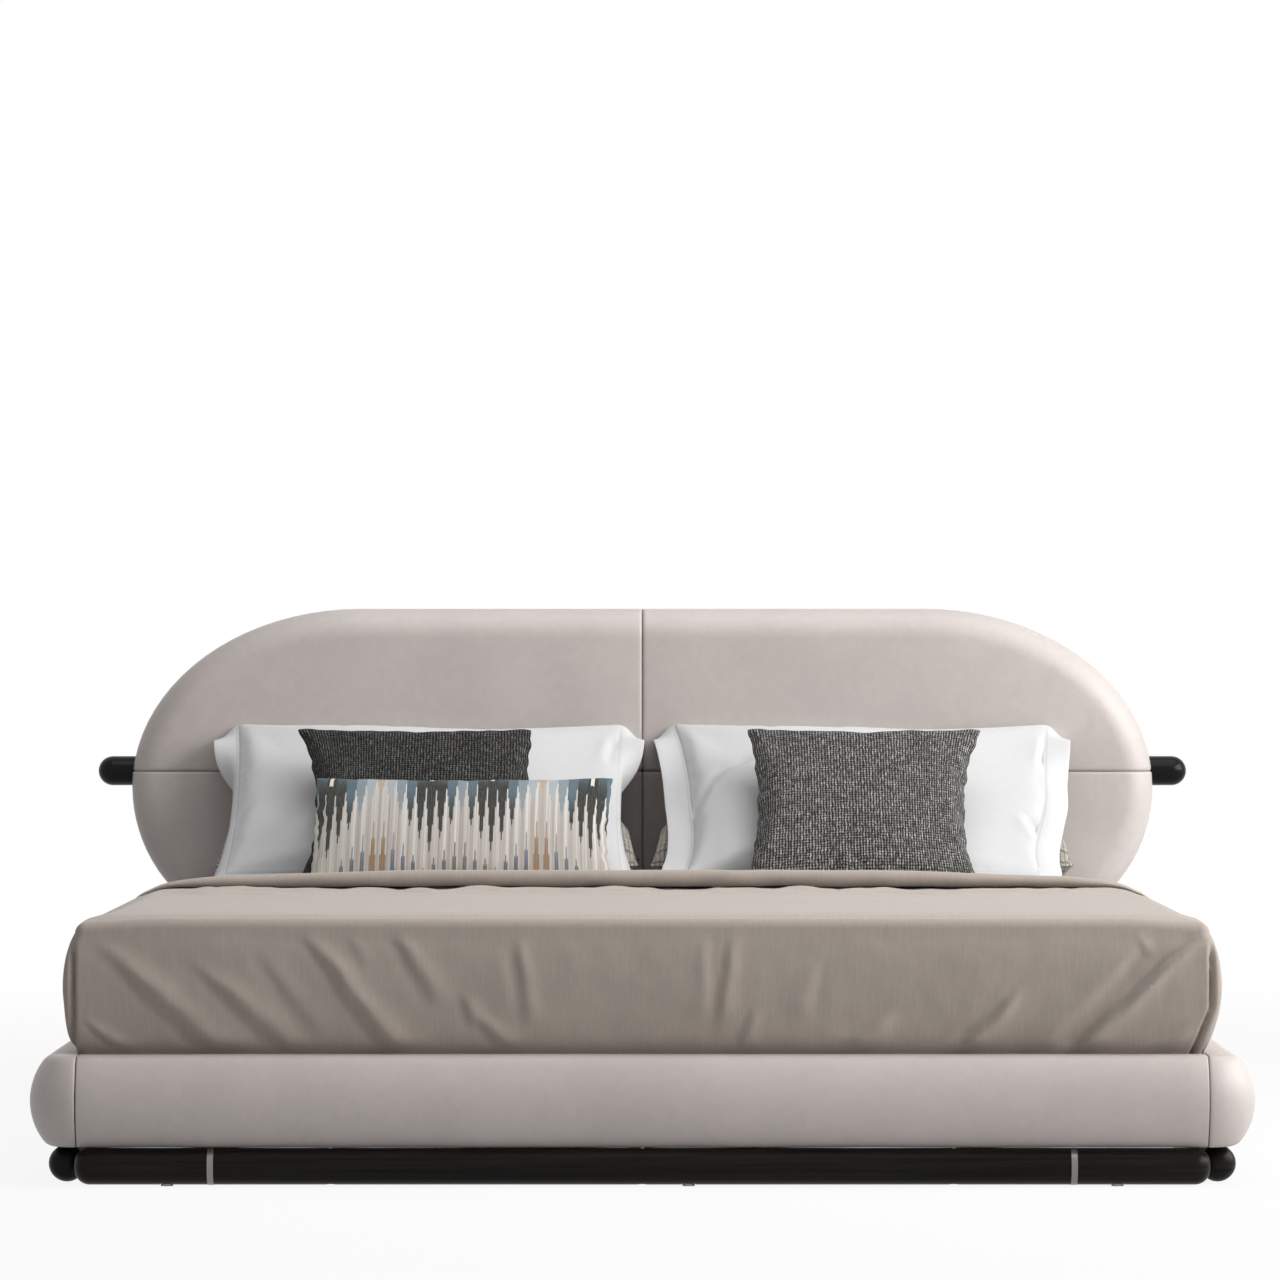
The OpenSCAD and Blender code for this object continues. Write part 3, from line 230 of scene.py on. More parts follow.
def leather_finish(name, *tone):
    """Smooth hide with soft clouding, fine pores and a dull shine."""
    paint = Paint(name)
    place = paint.object_place()
    clouds = paint.noise(place, 5.0, 3.0)
    mottle = paint.noise(place, 60.0, 3.0, 0.6)
    pores = paint.cells(place, 620.0)
    creases = paint.noise(place, 240.0, 4.0, 0.65)
    cloudy = (clouds * 0.6 + mottle * 0.4).smooth(0.3, 0.7)
    color = paint.mix(cloudy, (*tone, 0.93), (*tone, 1.05))
    color = paint.mix(pores.smooth(0.25, 0.0) * 0.25, color, (*tone, 0.6))
    roughness = 0.40 + mottle * 0.14
    height = pores.smooth(0.0, 0.5) * 0.5 + creases * 0.5
    return paint.surface(color, roughness, height, 0.0004, 0.35, Specular_IOR_Level=0.45)


def linen_finish():
    """Plain weave of fine uneven threads, with long slubs along the warp."""
    paint = Paint("linen")
    place = paint.cloth_place()
    warp = paint.grain(place, (620.0, 40.0, 1.0), 2.0, 0.6)
    weft = paint.grain(place, (40.0, 760.0, 1.0), 2.0, 0.6)
    slubs = paint.grain(place, (230.0, 18.0, 1.0), 3.0, 0.65)
    clouds = paint.noise(place, 4.0)
    across, along, _ = paint.axes(place)
    over = (across * 3500.0).math("SINE") * (along * 3500.0).math("SINE")
    tone = (warp * 0.40 + weft * 0.15 + slubs * 0.45).smooth(0.30, 0.70)
    color = paint.mix(tone, (0.312, 0.268, 0.234), (0.362, 0.313, 0.275))
    color = paint.mix(clouds.smooth(0.35, 0.7) * 0.12, color, (0.39, 0.34, 0.30))
    height = over * 0.15 + warp * 0.4 + weft * 0.3 + slubs * 0.3
    return paint.surface(
        color, 0.86, height, 0.0005, 0.5, Sheen_Weight=0.22, Sheen_Roughness=0.5,
        Specular_IOR_Level=0.25,
    )


def cotton_finish():
    """Close white weave with a soft nap, and the stitched line that holds the flat border."""
    paint = Paint("white_cotton")
    place = paint.cloth_place()
    threads = paint.grain(place, (700.0, 60.0, 1.0))
    cross = paint.grain(place, (60.0, 700.0, 1.0))
    rumple = paint.noise(place, 20.0, 3.0, 0.55)
    tone = (threads * 0.5 + cross * 0.5).smooth(0.3, 0.7)
    color = paint.mix(tone, (0.525, 0.523, 0.527), (0.560, 0.558, 0.562))
    across, along, _ = paint.axes(place)
    past_side = across.math("ABSOLUTE") - WHITE_CUT[0] / 2
    past_top = along.math("ABSOLUTE") - WHITE_CUT[1] / 2
    past_seam = past_side.math("MAXIMUM", past_top)
    stitches = (past_seam - 0.0025).math("ABSOLUTE").smooth(0.0013, 0.0005)
    color = paint.mix(stitches * 0.30, color, (0.25, 0.25, 0.25))
    height = threads * 0.25 + cross * 0.25 + rumple * 2.0
    return paint.surface(
        color, 0.8, height, 0.0010, 0.45, Sheen_Weight=0.05, Specular_IOR_Level=0.3
    )


def sheet_finish():
    """Fitted sheet over the mattress, seen where the bedspread ends."""
    paint = Paint("mattress_sheet")
    place = paint.object_place()
    threads = paint.grain(place, (60.0, 60.0, 500.0))
    rumple = paint.noise(place, 7.0, 2.0, 0.4)
    color = paint.mix(threads.smooth(0.3, 0.7), (0.49, 0.48, 0.465), (0.55, 0.54, 0.525))
    height = threads * 0.2 + rumple * 1.5
    return paint.surface(color, 0.85, height, 0.002, 0.5, Specular_IOR_Level=0.25)


def check_tweed_finish():
    """Cream wool with a small dark windowpane check."""
    paint = Paint("check_tweed")
    place = paint.cloth_place()
    across, along, _ = paint.axes(place)
    fuzz = paint.noise(place, 900.0)
    wander = paint.noise(place, 180.0) * 0.0012
    pitch = 0.0085
    lines = []
    for axis in (across, along):
        place_in = ((axis + wander) / pitch).math("FRACT")
        lines.append(place_in.smooth(0.24, 0.14) * fuzz.smooth(0.25, 0.6))
    grid = lines[0].math("MAXIMUM", lines[1])
    flecks = paint.grain(place, (260.0, 90.0, 1.0), 3.0, 0.7)
    color = paint.mix(flecks.smooth(0.3, 0.7), (0.24, 0.215, 0.185), (0.42, 0.385, 0.335))
    color = paint.mix(grid * 0.9, color, (0.040, 0.037, 0.033))
    height = fuzz * 0.6 + grid * 0.5 + flecks * 0.5
    return paint.surface(color, 0.9, height, 0.0008, 0.8, Sheen_Weight=0.15)


def loose_wool_finish(name, light):
    """Wool in an open weave: light and dark yarns cross, the upright ones showing more."""
    paint = Paint(name)
    place = paint.cloth_place()
    wander = paint.noise(place, 70.0) * 0.005
    across, along, _ = paint.axes(place)
    column = ((across + wander) / 0.0058 * math.pi).math("SINE").math("ABSOLUTE")
    row = ((along + wander) / 0.0066 * math.pi).math("SINE").math("ABSOLUTE")
    warp = paint.grain(place, (230.0, 62.0, 1.0), 3.0, 0.75)
    weft = paint.grain(place, (62.0, 230.0, 1.0), 3.0, 0.75)
    patches = paint.noise(place, 22.0)
    threads = warp.math("MAXIMUM", weft * 0.95) * 1.7 + column * 0.50 + row * 0.22
    threads = threads + patches * 0.20 - 1.05
    color = paint.ramp(
        threads,
        (0.15, 0.014, 0.014, 0.013, light), (0.42, 0.060, 0.058, 0.054, light),
        (0.62, 0.230, 0.224, 0.214, light), (0.95, 0.700, 0.685, 0.665, light),
    )
    return paint.surface(
        color, 0.92, threads * 1.2, 0.0012, 0.9, Sheen_Weight=0.02, Specular_IOR_Level=0.10
    )


def ikat_finish():
    """Flame stitch: dark and slate spikes hang from the top edge, tan ones rise from below."""
    paint = Paint("ikat_cloth")
    place = paint.cloth_place()
    across, up, _ = paint.axes(place)
    blur = paint.grain(place, (1100.0, 90.0, 1.0)) * 0.05 - 0.025
    rise = ((up / LONG_CUT[1] + 0.5 + blur - 0.12) / 0.82).math("MAXIMUM", 0.0)
    drop = 1.0 - rise
    # The cloth has 30 cells side by side, each of eight warp stripes
    cell = (across / LONG_CUT[0] + 0.5) * 30.0 + 0.2
    stripe = (cell * 8.0 + 0.5).math("FLOOR")
    stepped = stripe / 8.0
    uneven = paint.node("ShaderNodeTexWhiteNoise", {"noise_dimensions": "1D"}, {"W": stripe})

    def lattice(shift):
        """The nearest spike's number and how far off it is, from 0 to 1 between two spikes."""
        number = (stepped + shift + 0.4999).math("FLOOR") - shift
        return number, (stepped - number).math("ABSOLUTE") * 2.0

    def nearest(number, middles):
        steps = [(number - middle).math("ABSOLUTE") for middle in middles]
        return functools.reduce(lambda found, step: found.math("MINIMUM", step), steps)

    def shows(reach, where):
        return (reach - where).smooth(-0.012, 0.012)

    hung, beside = lattice(0.0)
    risen, beside_risen = lattice(0.5)
    away = nearest(hung, (2, 12, 18, 28))
    slim = (beside - 0.12).math("MAXIMUM", 0.0) * 1.13
    hang_reach = (0.84 - away * 0.137) * (1.0 - slim * 0.77) + uneven * 0.03
    away_tan = nearest(risen, (7, 23))
    tan_high = (0.56 - away_tan * 0.12).math("MAXIMUM", 0.0)
    tan_reach = tan_high * (1.0 - beside_risen * 1.35) - 0.02
    slate_reach = tan_high * (1.0 - beside_risen * 1.9) - 0.02
    thin_high = (0.30 - nearest(risen, (15,)) * 0.08).math("MAXIMUM", 0.0)
    thin_reach = thin_high * (1.0 - beside_risen * 2.2) - 0.02

    # Ground of white, cream and beige stripes, whiter beside the hanging spikes
    ground = beside * 0.55 + rise * 0.35 + uneven * 0.45 - 0.15
    color = paint.ramp(
        ground,
        (0.0, 0.290, 0.250, 0.222), (0.35, 0.365, 0.330, 0.298),
        (0.65, 0.450, 0.422, 0.392), (1.0, 0.590, 0.575, 0.550),
    )
    tan = paint.mix(rise.smooth(0.1, 0.6), (0.200, 0.125, 0.072), (0.330, 0.250, 0.180))
    slate = paint.mix(rise.smooth(0.0, 0.4), (0.085, 0.095, 0.120), (0.230, 0.245, 0.265))
    color = paint.mix(shows(thin_reach, rise), color, (0.110, 0.100, 0.105))
    color = paint.mix(shows(slate_reach, rise) * (away_tan > 1.0), color, slate)
    color = paint.mix(shows(tan_reach, rise) * (away_tan < 1.0), color, tan)
    blue = (away * 0.27 + (0.34 - drop) * 0.9).smooth(0.40, 0.72)
    hanging = paint.mix(blue, (0.017, 0.019, 0.016), (0.080, 0.120, 0.148))
    hanging = paint.mix((away - 2.2).smooth(0.0, 1.6), hanging, (0.330, 0.365, 0.385))
    hanging = paint.mix((away - 4.2).smooth(0.0, 0.6), hanging, (0.400, 0.320, 0.240))
    hangs = shows(hang_reach, drop)
    color = paint.mix(hangs, color, hanging)
    notch = (away < 0.5) * (beside < 0.3) * (drop < 0.075)
    color = paint.mix(notch * 0.9, color, (0.72, 0.70, 0.66))
    # A pale thread runs between the stripes
    between = ((cell * 4.0).math("FRACT") - 0.5).math("ABSOLUTE").smooth(0.36, 0.5)
    color = paint.mix(between * 0.20 * (1.0 - hangs * 0.7), color, (0.42, 0.41, 0.38))
    threads = paint.grain(place, (900.0, 50.0, 1.0))
    color = paint.mix(threads.smooth(0.35, 0.8) * 0.10, color, (0.50, 0.47, 0.42))
    height = between + threads
    return paint.surface(
        color, 0.82, height, 0.0005, 0.6, Sheen_Weight=0.04, Specular_IOR_Level=0.2
    )


def dark_wood_finish():
    """Near-black stained wood under a thin varnish, its grain along the log."""
    paint = Paint("dark_wood")
    place = paint.object_place()
    grain = paint.grain(place, (3.0, 3.0, 160.0), 5.0, 0.65)
    rings = paint.grain(place, (1.2, 1.2, 34.0), 3.0, 0.5)
    tone = (grain * 0.65 + rings * 0.35).smooth(0.35, 0.7)
    color = paint.mix(tone, (0.0030, 0.0026, 0.0022), (0.016, 0.0135, 0.011))
    roughness = 0.24 + grain * 0.16
    return paint.surface(color, roughness, grain, 0.0003, 0.5, Specular_IOR_Level=0.08)


def pale_wood_finish():
    """Planed beech and pine with long grain and small pores."""
    paint = Paint("pale_wood")
    place = paint.object_place()
    grain = paint.grain(place, (6.0, 90.0, 90.0), 5.0, 0.6)
    pores = paint.grain(place, (30.0, 700.0, 700.0))
    color = paint.mix(grain.smooth(0.3, 0.7), (0.50, 0.345, 0.195), (0.64, 0.47, 0.29))
    color = paint.mix(pores.smooth(0.62, 0.75) * 0.4, color, (0.30, 0.19, 0.10))
    return paint.surface(color, 0.5 + grain * 0.15, grain + pores * 0.5, 0.0003, 0.5)


def grained_finish(name, scales, detail, rough, dark, light, dullness, bump, **same):
    """A hard finish with one grain, which colours it, dulls it and stands up from it."""
    paint = Paint(name)
    grain = paint.grain(paint.object_place(), scales, detail, rough)
    color = paint.mix(grain, dark, light)
    return paint.surface(color, dullness[0] + grain * dullness[1], grain, *bump, **same)


def brushed_steel_finish(name, across, *tone):
    """The brush marks run round a ring or a bolt."""
    return grained_finish(
        name, (across, 30.0, 30.0), 3.0, 0.7, (*tone, 0.85), (*tone, 1.1),
        (0.26, 0.16), (0.0001, 0.4), Metallic=1.0,
    )


def nylon_finish(name, tone):
    """Moulded nylon, slightly dull."""
    paint = Paint(name)
    place = paint.object_place()
    grain = paint.noise(place, 800.0)
    flow = paint.noise(place, 30.0)
    color = paint.mix(flow, (tone, tone, tone, 0.8), (tone, tone, tone, 1.2))
    return paint.surface(color, 0.5 + grain * 0.2, grain, 0.0002, 0.5)


LEATHER = leather_finish("taupe_leather", 0.470, 0.424, 0.402)
BACK_LEATHER = leather_finish("backing_leather", 0.170, 0.150, 0.138)
LINEN = linen_finish()
COTTON = cotton_finish()
SHEET = sheet_finish()
CHECK_TWEED = check_tweed_finish()
GREY_WOOL = loose_wool_finish("grey_wool", 0.92)
# The left cushion has the same grey wool made much darker, which is painted shade for the shade
# it lies in
SHADED_GREY_WOOL = loose_wool_finish("grey_wool_painted_shade", 0.34)
IKAT = ikat_finish()
DARK_WOOD = dark_wood_finish()
BAR_VARNISH = grained_finish(
    "bar_varnish", (2.0, 120.0, 120.0), 4.0, 0.6, (0.0025, 0.0025, 0.0025),
    (0.006, 0.0055, 0.005), (0.16, 0.1), (0.0002, 0.25), Specular_IOR_Level=0.12,
)
PALE_WOOD = pale_wood_finish()
RING_STEEL = brushed_steel_finish("ring_steel", 900.0, 0.205, 0.200, 0.191)
BOLT_STEEL = brushed_steel_finish("bolt_steel", 200.0, 0.55, 0.55, 0.54)
POWDER_COAT = grained_finish(
    "powder_coat", (420.0, 420.0, 420.0), 2.0, 0.5, (0.014, 0.014, 0.015),
    (0.028, 0.028, 0.029), (0.45, 0.15), (0.0004, 0.5),
)
BLACK_NYLON = nylon_finish("black_nylon", 0.028)
PALE_NYLON = nylon_finish("pale_nylon", 0.82)

# Nodes of the frame that show as they are
KEPT_NODES = {
    DARK_WOOD: [
        "foot_log_middle", "foot_log_end_left", "foot_log_end_right",
        "side_log_left", "side_log_right", "head_log",
    ],
    BAR_VARNISH: ["headboard_bar"],
    RING_STEEL: ["foot_log_ring_left", "foot_log_ring_right"],
    BOLT_STEEL: [
        "corner_bolts", "ledger_screws", "hanger_bolts", "leg_screws", "log_bolts",
        "bar_screws", "strut_bolts",
    ],
    POWDER_COAT: ["corner_brackets", "middle_beam", "beam_hangers", "middle_legs"],
    BLACK_NYLON: ["leg_glides", "slat_caps_left", "slat_caps_right"],
    PALE_NYLON: ["floor_glides"],
    PALE_WOOD: [
        "foot_rail_core", "side_rail_core_left", "side_rail_core_right", "head_rail_core",
        "slat_ledger_left", "slat_ledger_right", "slats_left", "slats_right",
        "headboard_front_board", "headboard_frame", "headboard_back_board",
        "headboard_struts",
    ],
    BACK_LEATHER: ["head_rail_cover", "headboard_back_cover"],
}

for finish, names in KEPT_NODES.items():
    for name in names:
        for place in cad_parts[name].material_slots:
            place.material = finish


# Modelling helpers

VERT, EDGE, FACE = bmesh.types.BMVert, bmesh.types.BMEdge, bmesh.types.BMFace


def add_object(name, data):
    made = bpy.data.objects.new(name, data)
    bpy.context.scene.collection.objects.link(made)
    return made


def to_mesh(name, bm):
    """Turns a bmesh into a mesh, and frees it."""
    mesh = bpy.data.meshes.new(name)
    bm.to_mesh(mesh)
    bm.free()
    return mesh


def piece(name, bm, finish, body, node):
    """Makes the finished piece from a bmesh, on its body and in the place of its node."""
    mesh = to_mesh(name, bm)
    mesh.materials.append(finish)
    mesh.shade_smooth()
    mesh.set_sharp_from_angle(angle=math.radians(50))
    made = add_object(name, mesh)
    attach(made, body)
    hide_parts(node)
    return made


def thicken(sheet, thickness):
    """Gives a sheet the thickness of its cloth, on its inner side."""
    cloth = sheet.modifiers.new("cloth thickness", "SOLIDIFY")
    cloth.thickness = thickness
    cloth.offset = -1.0


def of_kind(parts, kind):
    return [part for part in parts if isinstance(part, kind)]


def face_out(bm):
    bmesh.ops.recalc_face_normals(bm, faces=bm.faces[:])


def round_off(bm, edges, radius, steps, clamp=False):
    bmesh.ops.bevel(
        bm, geom=edges, offset=radius, offset_type="OFFSET", affect="EDGES",
        segments=steps, profile=0.5, material=-1, clamp_overlap=clamp,
    )


def upright_edges(bm):
    return [
        edge for edge in bm.edges
        if abs(edge.verts[0].co.z - edge.verts[1].co.z) > 0.1 and len(edge.link_faces) == 2
    ]


def lies_at(edge, axis, place, near=1e-5):
    """Whether a whole edge lies at a place along an axis."""
    return all(abs(vert.co[axis] - place) < near for vert in edge.verts)


def block(bm, low, high):
    """Adds a plain block between two corners."""
    low, high = Vector(low), Vector(high)
    place = Matrix.Translation((low + high) / 2) @ Matrix.Diagonal((*(high - low), 1.0))
    bmesh.ops.create_cube(bm, size=1.0, matrix=place)


def slice_at(bm, axis, places):
    """Cuts the mesh into strips at places along an axis, and keeps both sides."""
    normal = Vector([1.0 if i == axis else 0.0 for i in range(3)])
    for place in places:
        geom = bm.verts[:] + bm.edges[:] + bm.faces[:]
        bmesh.ops.bisect_plane(
            bm, geom=geom, dist=1e-6, plane_co=normal * place, plane_no=normal
        )


def slice_evenly(bm, axis, low, high, pitch):
    """Cuts the mesh between low and high, about pitch apart, but not at the two ends."""
    count = max(1, round((high - low) / pitch))
    slice_at(bm, axis, [low + (high - low) * i / count for i in range(1, count)])


def pull(bm, face, shift, steps):
    """Extrudes a face along shift in equal steps, and returns the last face."""
    for _ in range(steps):
        region = [face, *face.edges, *face.verts]
        face = of_kind(bmesh.ops.extrude_face_region(bm, geom=region)["geom"], FACE)[0]
        bmesh.ops.translate(bm, verts=face.verts[:], vec=Vector(shift) / steps)
    return face


def turn_round(bm, face, centre, angle, steps):
    """Turns a face about an upright axis, and returns the last face."""
    made = bmesh.ops.spin(
        bm, geom=[face, *face.edges, *face.verts], cent=centre, axis=(0, 0, 1),
        angle=angle, steps=steps, use_merge=False,
    )["geom_last"]
    return of_kind(made, FACE)[0]


def close_up(bm):
    bmesh.ops.remove_doubles(bm, verts=bm.verts[:], dist=1e-5)
    face_out(bm)


# Rails

# The padded face is a wide arc between two roundings, measured from the rail's inner face
BULGE_R = 0.10703
BULGE_CENTRE = -0.02703
BULGE_HALF_H = 0.0652
ROUNDING_R = 0.025
ROUNDING_OUT, ROUNDING_UP = 0.038, 0.050
SEAM_ROUNDING = 0.0035
HIDE_UNEVEN = 0.0006


def rail_bulge(height):
    """How far the face stands out from the inner face, at a height from the rail's middle."""
    height = abs(height)
    if height < BULGE_HALF_H:
        return math.sqrt(BULGE_R**2 - height**2) + BULGE_CENTRE
    return ROUNDING_OUT + math.sqrt(max(0.0, ROUNDING_R**2 - (height - ROUNDING_UP) ** 2))


def rail_section(bm, x):
    """A face with the rail's section at the foot of the bed, its bulge towards the foot."""
    half = RAIL_HALF_H
    corners = [(0, -half), (ROUNDING_OUT, -half), (ROUNDING_OUT, half), (0, half)]
    made = [bm.verts.new((out, 0, height)) for out, height in corners]
    face = bm.faces.new(made)
    bmesh.ops.subdivide_edges(bm, edges=[bm.edges.get(made[1:3])], cuts=25)
    for vert in bm.verts:
        if vert.co.x > 0.03:
            height = half * math.sin(vert.co.z / half * math.pi / 2)
            vert.co = (rail_bulge(height), 0, height)
    turn = Matrix.Rotation(-math.pi / 2, 4, "Z")
    place = Matrix.Translation((x, RAIL_IN_Y, RAIL_MID_Z)) @ turn
    bmesh.ops.transform(bm, matrix=place, verts=bm.verts[:])
    return face


def soften_end(bm, x):
    """Rounds the edges of the end faces that stand at x, where two covers meet in a seam."""
    edges = [
        edge for edge in bm.edges
        if lies_at(edge, 0, x) and any(abs(face.normal.x) < 0.5 for face in edge.link_faces)
    ]
    round_off(bm, edges, SEAM_ROUNDING, 3)


def relax_hide(bm):
    """Gives stretched leather the faint unevenness of the padding under it."""
    bm.normal_update()
    for vert in bm.verts:
        swell = noise.noise(vert.co * 7.0) + 0.4 * noise.noise(vert.co * 17.0)
        vert.co += vert.normal * HIDE_UNEVEN * (swell - 0.9)


def leather_cover(name, bm, node):
    piece(name, bm, LEATHER, "bed_frame", node)


def make_foot_rail():
    bm = bmesh.new()
    pull(bm, rail_section(bm, -RAIL_IN_X), (2 * RAIL_IN_X, 0, 0), 46)
    close_up(bm)
    soften_end(bm, RAIL_IN_X)
    soften_end(bm, -RAIL_IN_X)
    relax_hide(bm)
    leather_cover("foot_rail_leather", bm, "foot_rail_cover")


def make_side_rail(side, hand):
    """Runs along the bed between two quarter rounds that end against the cross rails."""
    bm = bmesh.new()
    face = rail_section(bm, RAIL_IN_X)
    face = turn_round(bm, face, (RAIL_IN_X, RAIL_IN_Y, 0), math.pi / 2, 14)
    face = pull(bm, face, (0, SIDE_STRAIGHT, 0), 50)
    turn_round(bm, face, (RAIL_IN_X, RAIL_IN_Y + SIDE_STRAIGHT, 0), math.pi / 2, 14)
    close_up(bm)
    soften_end(bm, RAIL_IN_X)
    if side < 0:
        bmesh.ops.scale(bm, vec=(-1, 1, 1), verts=bm.verts[:])
        close_up(bm)
    relax_hide(bm)
    leather_cover("side_rail_leather_" + hand, bm, "side_rail_cover_" + hand)


# Headboard

# The outline: wide quarter ellipses at the top, and circles at the bottom corners
WIDEST_X, WIDEST_Z = 0.991, 0.602
UPPER_X, UPPER_W, UPPER_H = 0.548, 0.443, 0.345
LOWER_R = 0.290
PER_CORNER = 22
PAD_DEPTH = 0.127
PAD_EDGE_R = 0.055
PAD_RIM = 0.015
PAD_HOLLOW = 0.085
SEAM_GAP = 0.0002
PAD_SEAM_R = 0.006
# How far the pads sink towards their seams, and from how far off
SEAM_DIP, SEAM_DIP_W = 0.0025, 0.030


def headboard_edge(vert):
    """Moves a point of a circle to the headboard's outline, and returns its new place."""
    count = 4 * PER_CORNER
    index = round(math.atan2(vert.co.y, vert.co.x) / (2 * math.pi) * count) % count
    corner, step = divmod(index, PER_CORNER)
    share = step / (PER_CORNER - 1)
    side = 1 if corner in (0, 3) else -1
    angle = math.pi / 2 * (share if corner in (0, 2) else 1 - share)
    if corner < 2:
        x = UPPER_X + UPPER_W * math.cos(angle)
        z = WIDEST_Z + UPPER_H * math.sin(angle)
    else:
        x = WIDEST_X - LOWER_R * (1 - math.cos(angle))
        z = WIDEST_Z - LOWER_R * math.sin(angle)
    return Vector((side * x, HEADBOARD_Y, z))


def headboard_shell():
    """The whole upholstered shell, hollow behind, before it is parted into four pads."""
    bm = bmesh.new()
    bmesh.ops.create_circle(bm, cap_ends=True, radius=1.0, segments=4 * PER_CORNER)
    for vert in bm.verts:
        vert.co = headboard_edge(vert)
    bmesh.ops.remove_doubles(bm, verts=bm.verts[:], dist=1e-4)
    pull(bm, bm.faces[:][0], (0, PAD_DEPTH, 0), 1)
    face_out(bm)
    rim = [edge for edge in bm.edges if lies_at(edge, 1, HEADBOARD_Y)]
    round_off(bm, rim, PAD_EDGE_R, 10)
    bm.normal_update()
    back = max(bm.faces, key=lambda face: face.normal.y * face.calc_area())
    bmesh.ops.inset_region(bm, faces=[back], thickness=PAD_RIM, use_even_offset=True)
    pull(bm, back, (0, -PAD_HOLLOW, 0), 1)
    face_out(bm)
    return bm


def cut_away(bm, place, normal):
    """Cuts off what lies beyond a plane and closes the cut."""
    geom = bm.verts[:] + bm.edges[:] + bm.faces[:]
    cut = bmesh.ops.bisect_plane(
        bm, geom=geom, dist=1e-6, plane_co=place, plane_no=normal, clear_outer=True
    )["geom_cut"]
    bmesh.ops.holes_fill(bm, edges=of_kind(cut, EDGE), sides=0)


def make_pad(shell, side, rise, node):
    """Cuts one pad out of the shell, on one side and above (1) or below (-1) the level seam."""
    bm = shell.copy()
    seams = (side * SEAM_GAP, SEAM_Z + rise * SEAM_GAP)
    cut_away(bm, Vector((seams[0], 0, 0)), Vector((-side, 0, 0)))
    cut_away(bm, Vector((0, 0, seams[1])), Vector((0, 0, -rise)))
    face_out(bm)
    turned_in = []
    for edge in bm.edges:
        outer = all(vert.co.y < HEADBOARD_Y + PAD_EDGE_R + 0.0005 for vert in edge.verts)
        inner = lies_at(edge, 1, HEADBOARD_Y + PAD_DEPTH - PAD_HOLLOW, 1e-4)
        for axis, seam in zip((0, 2), seams):
            shows = any(abs(face.normal[axis]) < 0.7 for face in edge.link_faces)
            if lies_at(edge, axis, seam) and shows and outer and not inner:
                turned_in.append(edge)
                break
    round_off(bm, turned_in, PAD_SEAM_R, 3, clamp=True)
    across = (0.02, 0.95) if side > 0 else (-0.95, -0.02)
    up = (SEAM_Z + 0.02, 0.93) if rise > 0 else (0.33, SEAM_Z - 0.02)
    slice_evenly(bm, 0, *across, 0.04)
    slice_evenly(bm, 2, *up, 0.04)
    slice_at(bm, 0, [side * 0.010, side * 0.016])
    slice_at(bm, 2, [SEAM_Z + rise * 0.010, SEAM_Z + rise * 0.016])
    for vert in bm.verts:
        if vert.co.y < HEADBOARD_Y + 0.030:
            near = bell(vert.co.x, SEAM_DIP_W) + bell(vert.co.z - SEAM_Z, SEAM_DIP_W)
            swell = HIDE_UNEVEN * noise.noise(vert.co * 6.0)
            vert.co.y += SEAM_DIP * min(1.0, near) + swell + HIDE_UNEVEN
    leather_cover(node + "_leather", bm, node)


def make_headboard():
    shell = headboard_shell()
    for rise, level in ((1, "upper"), (-1, "lower")):
        for side, hand in ((-1, "left"), (1, "right")):
            make_pad(shell, side, rise, f"pad_{level}_{hand}")
    shell.free()


# Mattress and bedspread

MATTRESS_CORNER_R = 0.042
MATTRESS_EDGE_R = 0.028


def make_mattress():
    bm = bmesh.new()
    low = (-MATTRESS_HALF_W, MATTRESS_FOOT_Y, DECK_Z)
    high = (MATTRESS_HALF_W, MATTRESS_FOOT_Y + MATTRESS_L, MATTRESS_TOP_Z)
    block(bm, low, high)
    round_off(bm, upright_edges(bm), MATTRESS_CORNER_R, 5)
    level = [
        edge for edge in bm.edges
        if abs(edge.verts[0].co.z - edge.verts[1].co.z) < 1e-6 and len(edge.link_faces) == 2
        and abs(edge.calc_face_angle()) > 0.5
    ]
    round_off(bm, level, MATTRESS_EDGE_R, 5)
    slice_evenly(bm, 0, -0.86, 0.86, 0.06)
    slice_evenly(bm, 1, MATTRESS_FOOT_Y + 0.04, MATTRESS_FOOT_Y + 1.96, 0.06)
    slice_evenly(bm, 2, DECK_Z + 0.03, MATTRESS_TOP_Z - 0.03, 0.02)
    middle_z, half_h = (MATTRESS_TOP_Z + DECK_Z) / 2, (MATTRESS_TOP_Z - DECK_Z) / 2
    for vert in bm.verts:
        x, y, z = vert.co
        middle = 1 - abs(z - middle_z) / half_h
        pull_in = 0.0018 * max(0.0, middle) * (1 + waver(x * 9, y * 9, z * 3))
        vert.co.x -= math.copysign(pull_in, x) * (abs(x) > 0.85)
        vert.co.y -= math.copysign(pull_in, y) * (abs(y) > 0.85)
    piece("mattress_sheeted", bm, SHEET, "mattress", "mattress")


SPREAD_TOP_Z = 0.438
SHOULDER_Z = 0.413
TUCK_TOP_Z = 0.215
TUCK_LOW_Z = 0.180
TUCK_OUT = 0.0143
SHOULDER_OUT = 0.0223
SPREAD_SIDE_X = MATTRESS_HALF_W + SHOULDER_OUT
SPREAD_FOOT_Y = MATTRESS_FOOT_Y - SHOULDER_OUT
SPREAD_EDGE_R = 0.016
SIDE_BULGE = 0.023
FOOT_BULGE = 0.0115


def hang_share(z):
    """How far up the hanging cloth a height is, from 0 at the rail to 1 at the top edge."""
    return max(0.0, min(1.0, (z - TUCK_TOP_Z) / (SHOULDER_Z - TUCK_TOP_Z)))


def hang_out(z, bulge):
    """How far the hanging cloth stands out beyond its top edge at a height."""
    share = hang_share(z)
    slope = (TUCK_OUT - SHOULDER_OUT) * (1 - share)
    return slope + bulge * math.sin(math.pi * share) ** 0.8


